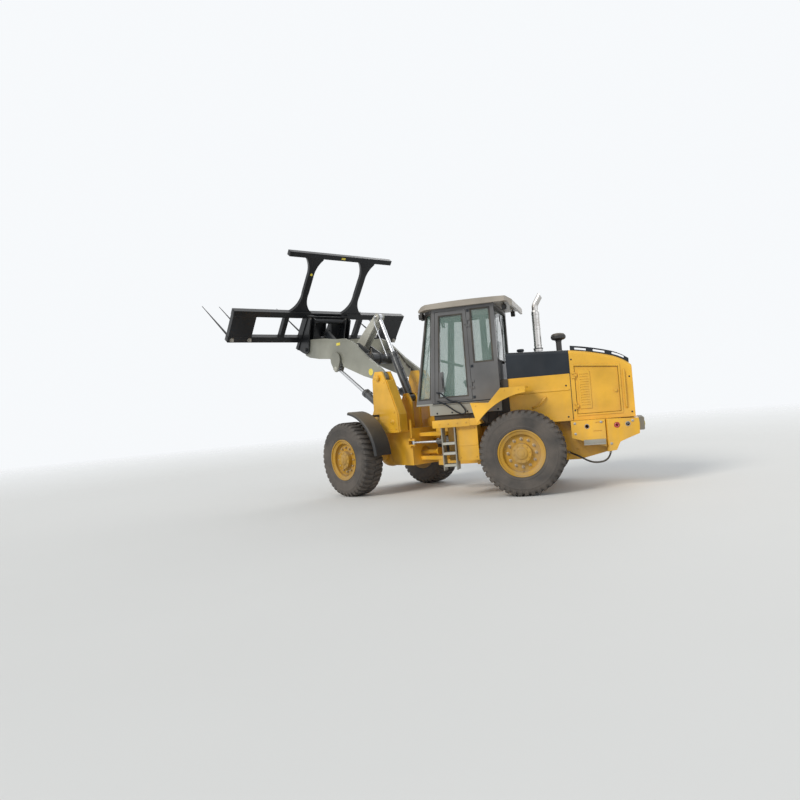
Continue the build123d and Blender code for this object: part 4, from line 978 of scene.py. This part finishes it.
class LOADER_OT_cylinders(PieceOperator):
    """Collars, ports and pipes of the barrels, the level rod and the clips of the boom's hoses"""

    bl_idname = "loader.cylinders"
    bl_label = "Cylinders"

    def execute(self, context):
        # Body, pins at its foot and at its rod's end, barrel's length and radius, distances right of centre.
        for body, foot, far, length, radius, rows in (
                ("tilt_barrel", "tilt_foot", "bellcrank_top", 940, 70, (0,)),
                ("lift_barrels", "lift_foot", "lift_rod", 1030, 65, (-440, 440))):
            form, pipes = Form(body), Form(body)
            for y in rows:
                base, _, along = pin_line(foot, far, y)
                above = Y.cross(along)
                if body == "lift_barrels":
                    form.bolt_ring(base + along * (length - 4), along, radius - 12, 8, 12, 5)
                for reach, broad, proud in ((length - 90, 16, 5), (120, 12, 4)):
                    inner, outer = radius - 3, radius + proud
                    form.lathe(base + along * reach, along,
                               [(inner, 0), (outer - 2, 0), (outer, 2), (outer, broad - 2), (outer - 2, broad),
                                (inner, broad)], 32, wrap=True)
                ports = [base + along * reach + above * (radius - 2) for reach in (150, length - 40)]
                for port in ports:
                    form.lathe(port, above, [(20, -6), (20, 14), (15, 18)], 6)
                low, high = (port + above * 34 for port in ports)
                pipes.tube([ports[1] + above * 12, high, high - along * 30, low + along * 60, low + along * 20,
                            low - along * 20], 9, 10)
                for share in (0.25, 0.55, 0.85):
                    form.lathe(ports[0].lerp(ports[1], share), above, [(15, -4), (15, 40), (12, 46)], 10)
            form.piece("barrel_fittings_" + body, "barrel")
            pipes.piece("barrel_pipes_" + body, "barrel")

        sensor, guide, clips = Form("tilt_rod"), Form("tilt_barrel"), Form("boom")
        base, eye, along = pin_line("tilt_foot", "bellcrank_top", LEVEL_ROD_Y)
        ahead = along.cross(Y) * 78
        sensor.lathe(eye, -Y, [(24, -13), (24, 6), (19, 9)], 24)
        sensor.tube([eye, eye + ahead * 0.6 - along * 30, eye + ahead - along * 90, eye + ahead - along * 820], 9, 12)
        gland = base + along * 900
        guide.lathe(gland + ahead - along * 24, along, [(17, 0), (17, 48), (11, 48), (11, 0)], 20, wrap=True)
        guide.tube([gland + ahead * 0.84, gland + ahead * 0.5 + Y * 20, gland + ahead * 0.3 + Y * 42], 9, 8)
        sensor.piece("level_rod", "chrome")
        guide.piece("level_guide", "barrel")
        for side in (-1, 1):
            for x, z in ((-1300, 2346), (-1170, 2233)):
                clips.block((x - 18, side * 380, z - 24), (x + 18, side * 416, z + 24), 3)
                clips.bolt((x, side * 380, z), Y * -side, 12, 8)
            clips.lathe((-1682, side * 170, 2582), (0.72, 0, 0.68),
                        [(22, -8), (22, 14), (19, 16), (19, 50), (16, 54)], 6)
        clips.piece("hose_clips", "steel", "boom_grey")
        return {"FINISHED"}


class LOADER_OT_spear_fittings(PieceOperator):
    """Weld beads, nuts, caps and reflectors of the spear frame and the boom"""

    bl_idname = "loader.spear_fittings"
    bl_label = "Spear fittings"

    def execute(self, context):
        form, nuts, caps = Form("spear_frame"), Form("spear_frame"), Form("spear_frame")
        for side in (-1, 1):
            for inner, outer in ((1620, 2120), (880, 980), (380, 500)):
                for x in (-340, -440):
                    for z in (110, 551):
                        form.bead((x, side * inner, z), (x, side * outer, z))
            for x in (-355, -425):
                for half, z in ((255, 671), (188, 1845)):
                    form.bead((x, side * POST_Y - half, z), (x, side * POST_Y + half, z))
            for y in (side * 498, side * 382):
                form.bead((-245, y, -60), (-245, y, 560), share=0.8)
            form.bead((-329, side * 350, -145), (-329, side * 530, -145))
            for z in (-75, 560):
                form.bead_ring((-212, side * 368, z), 46, 32)
            for z in (-100, 40, 300, 470, 600):
                nuts.bolt((-245, side * 440, z), X, 30, 16)
            for z in (50, 611):
                caps.block((-444, side * 2120, z - 54), (-336, side * 2126, z + 54), 3)
            caps.block((-436, side * 1245, 1849), (-344, side * 1250, 1941), 3)
        for y in SPEARS_Y:
            # Washer, nut and thread before the rail, flange and sleeve behind it.
            for x, out, profile, steps in ((-330, X, [(44, -1), (44, 6), (40, 7)], 24),
                                           (-330, X, [(34, 6), (34, 34), (30, 38)], 6),
                                           (-330, X, [(19, 36), (19, 58), (15, 62)], 20),
                                           (-450, -X, [(52, -1), (52, 5), (47, 9)], 28),
                                           (-450, -X, [(43, 40), (45, 42), (45, 62), (43, 64)], 28)):
                nuts.lathe((x, y, 50), out, profile, steps)
            nuts.bolt((-492, y, 93), Z, 16, 12)
        form.piece("frame_welds", "black", smooth=60)
        nuts.piece("spear_nuts", "steel", "spear_black")
        caps.piece("rail_caps", "black")

        boom, marks, spots = Form("boom"), Form("boom"), Form("spear_frame")
        for side in (-1, 1):
            for y in (414, 112):
                boom.bead_ring((-1760, side * y, 2500), 110, 44)
            for y in (BOOM_OUTER_Y, BOOM_INNER_Y):
                boom.bead_ring((PINS["boom"][0], side * y, PINS["boom"][1]), 96, 40)
            marks.lathe((-1301, side * BOOM_OUTER_Y, 2208), Y * side,
                        [(64, -1), (64, 4), (61, 5), (57, 3), (24, 5)], 32)
            marks.block((-2306, side * (BOOM_OUTER_Y - 1), 2812), (-2190, side * (BOOM_OUTER_Y + 5), 2864))
        spots.lathe((-354, -POST_Y, 1500), X, [(27, -1), (27, 5), (23, 7), (8, 8)], 24)
        spots.block((-340, -46, 1872), (-335, 46, 1912))
        boom.piece("boom_welds", "boom", smooth=60)
        marks.piece("boom_reflectors", "amber_lens")
        spots.piece("post_reflectors", "amber_lens")
        return {"FINISHED"}


def axle_cover(form, ahead):
    """Bolted cover of an axle's differential, on its rear side for 1 and on its front side for -1."""
    form.lathe((ahead * AXLE_BEHIND, 0, TYRE_RADIUS), X * ahead, AXLE_COVER, 36)
    form.bolt_ring((ahead * (AXLE_BEHIND + COVER_BOLTS), 0, TYRE_RADIUS), X * ahead, 140, 12, 18, 10)


class LOADER_OT_front_fittings(PieceOperator):
    """Bolts and welds of both frames, the towers and the axles"""

    bl_idname = "loader.front_fittings"
    bl_label = "Frame fittings"

    def execute(self, context):
        form, rear = Form("front_chassis"), Form()
        form.side_bolts(545, ((-620, 1150), (-760, 1150), (-1180, 1150), (-1320, 1150), (-640, 1440), (-860, 1980)),
                        24, 10)
        form.side_bolts(300, [(x, 812) for x in (-1540, -1500, -1390, -1350)], 26, 12)
        for side in (-1, 1):
            form.bead((-560, side * 545, 1113), (-1390, side * 545, 1113))
            form.bead((-532, side * 400, 1113), (-532, side * 520, 1113))
            form.bead_ring((-AXLE_BEHIND, side * 685, TYRE_RADIUS), 118, 40)
        axle_cover(form, -1)
        form.piece("front_bolts", "yellow")
        axle_cover(rear, 1)
        rear.side_bolts(380, ((760, 1080), (980, 1080), (1980, 1040), (2400, 1030), (2050, 560), (2250, 620)), 24, 10)
        rear.side_bolts(1150, ((1260, 1640), (1480, 1640), (800, 1440)), 18, 7)
        rear.piece("rear_bolts", "yellow")
        return {"FINISHED"}


class LOADER_OT_stage(PieceOperator):
    """Set the camera, the pale floor and the soft lamps"""

    bl_idname = "loader.stage"
    bl_label = "Stage"

    def execute(self, context):
        scene = context.scene
        scene.view_settings.view_transform = "Standard"
        yaw, pitch, roll, focal_px, picture_px = 0.2860, 0.0128, -0.0820, 705.63, 800
        eye = PIVOT + Vector((2.7735, -11.9542, 1.4867))
        ahead = Vector((-math.sin(yaw) * math.cos(pitch), math.cos(yaw) * math.cos(pitch), math.sin(pitch)))
        level = Vector((math.cos(yaw), math.sin(yaw), 0))
        upward = level.cross(ahead)
        across = level * math.cos(roll) + upward * math.sin(roll)
        upward = upward * math.cos(roll) - level * math.sin(roll)
        optics = bpy.data.cameras.new("camera")
        optics.sensor_width = 36
        optics.lens = optics.sensor_width * focal_px / picture_px
        optics.clip_end = 300
        scene.camera = new_object("camera", optics)
        scene.camera.matrix_world = Matrix.Translation(eye) @ Matrix((across, upward, -ahead)).transposed().to_4x4()

        # A floor that fades out far from the machine.
        half_floor, fade_out = 45, 40.0
        ground = bmesh.new()
        bmesh.ops.create_grid(ground, x_segments=8, y_segments=8, size=half_floor)
        data = bpy.data.meshes.new("floor")
        ground.to_mesh(data)
        ground.free()
        finish = Finish("studio_floor")
        tone = finish.blend(finish.noise(0.8, 4.0) * 0.3, (0.74, 0.73, 0.71), (0.69, 0.68, 0.66))
        solid = finish.shader(Base_Color=tone, Roughness=0.8)
        reach = finish.node("VectorMath", {"operation": "LENGTH"}, {0: finish.place()}, "Value")
        faded = finish.ramp(reach / fade_out, (0.25, 0.0), (0.85, 1.0))
        clear = finish.node("BsdfTransparent", {}, {})
        data.materials.append(finish.close(finish.node("MixShader", {}, {0: faded, 1: solid, 2: clear})))
        floor = new_object("floor", data)

        # A pale backdrop for what is seen or mirrored, and a weaker sky for what is lit.
        studio = Finish("studio", "worlds")
        camera_ray, glossy_ray, through_ray = (
            studio.node("LightPath", {}, {}, "Is %s Ray" % kind) for kind in ("Camera", "Glossy", "Transmission"))
        direct = camera_ray.combine("MAXIMUM", camera_ray, glossy_ray)
        direct = direct.combine("MAXIMUM", direct, through_ray)
        seen = studio.node("Background", {}, {"Color": (0.93, 0.95, 0.97, 1), "Strength": 1.0})
        lit = studio.node("Background", {}, {"Color": (0.86, 0.93, 1.0, 1), "Strength": 0.55})
        scene.world = studio.close(studio.node("MixShader", {}, {0: direct, 1: lit, 2: seen}), "OutputWorld")

        # Lamps: name, place, energy, angle, colour.
        for name, place, energy, spread, tone in (("key", (-9, -13, 12), 1.75, 0.35, (1.0, 0.96, 0.88)),
                                                  ("fill", (10, -7, 5), 0.4, 0.9, (0.92, 0.96, 1.0)),
                                                  ("rim", (3, 12, 8), 0.65, 0.7, (1.0, 1.0, 1.0))):
            light = bpy.data.lights.new(name, "SUN")
            light.energy, light.angle, light.color = energy, spread, tone
            lamp = new_object(name, light)
            lamp.location = Vector(place)
            lamp.rotation_euler = (Vector((0, 0, 1.6)) - lamp.location).to_track_quat("-Z", "Y").to_euler()
        return {"FINISHED"}


class LOADER_PT_panel(bpy.types.Panel):
    """Lists the loader's operators, colours and sizes"""

    bl_idname = "LOADER_PT_panel"
    bl_label = "Wheel loader"
    bl_space_type = "VIEW_3D"
    bl_region_type = "UI"
    bl_category = "Loader"

    def draw(self, context):
        for group in (context.scene.loader_colours, context.scene.loader_sizes):
            for name in group.__annotations__:
                self.layout.prop(group, name)
        for operator in STEPS:
            self.layout.operator(operator.bl_idname)


STEPS = (LOADER_OT_stage, LOADER_OT_finishes, LOADER_OT_hose, LOADER_OT_tyres, LOADER_OT_hubs, LOADER_OT_cab_trim,
         LOADER_OT_seat, LOADER_OT_hood_trim, LOADER_OT_liners, LOADER_OT_treads, LOADER_OT_pins, LOADER_OT_cylinders,
         LOADER_OT_spear_fittings, LOADER_OT_front_fittings)
CLASSES = (LoaderColours, LoaderSizes) + STEPS + (LOADER_PT_panel,)


def register():
    for cls in CLASSES:
        bpy.utils.register_class(cls)
    bpy.types.Scene.loader_colours = PointerProperty(type=LoaderColours)
    bpy.types.Scene.loader_sizes = PointerProperty(type=LoaderSizes)


def unregister():
    del bpy.types.Scene.loader_sizes
    del bpy.types.Scene.loader_colours
    for cls in reversed(CLASSES):
        bpy.utils.unregister_class(cls)


def main():
    """Builds the pieces in order."""
    register()
    for operator in STEPS:
        group, name = operator.bl_idname.split(".")
        getattr(getattr(bpy.ops, group), name)()


if __name__ == "__main__":
    main()
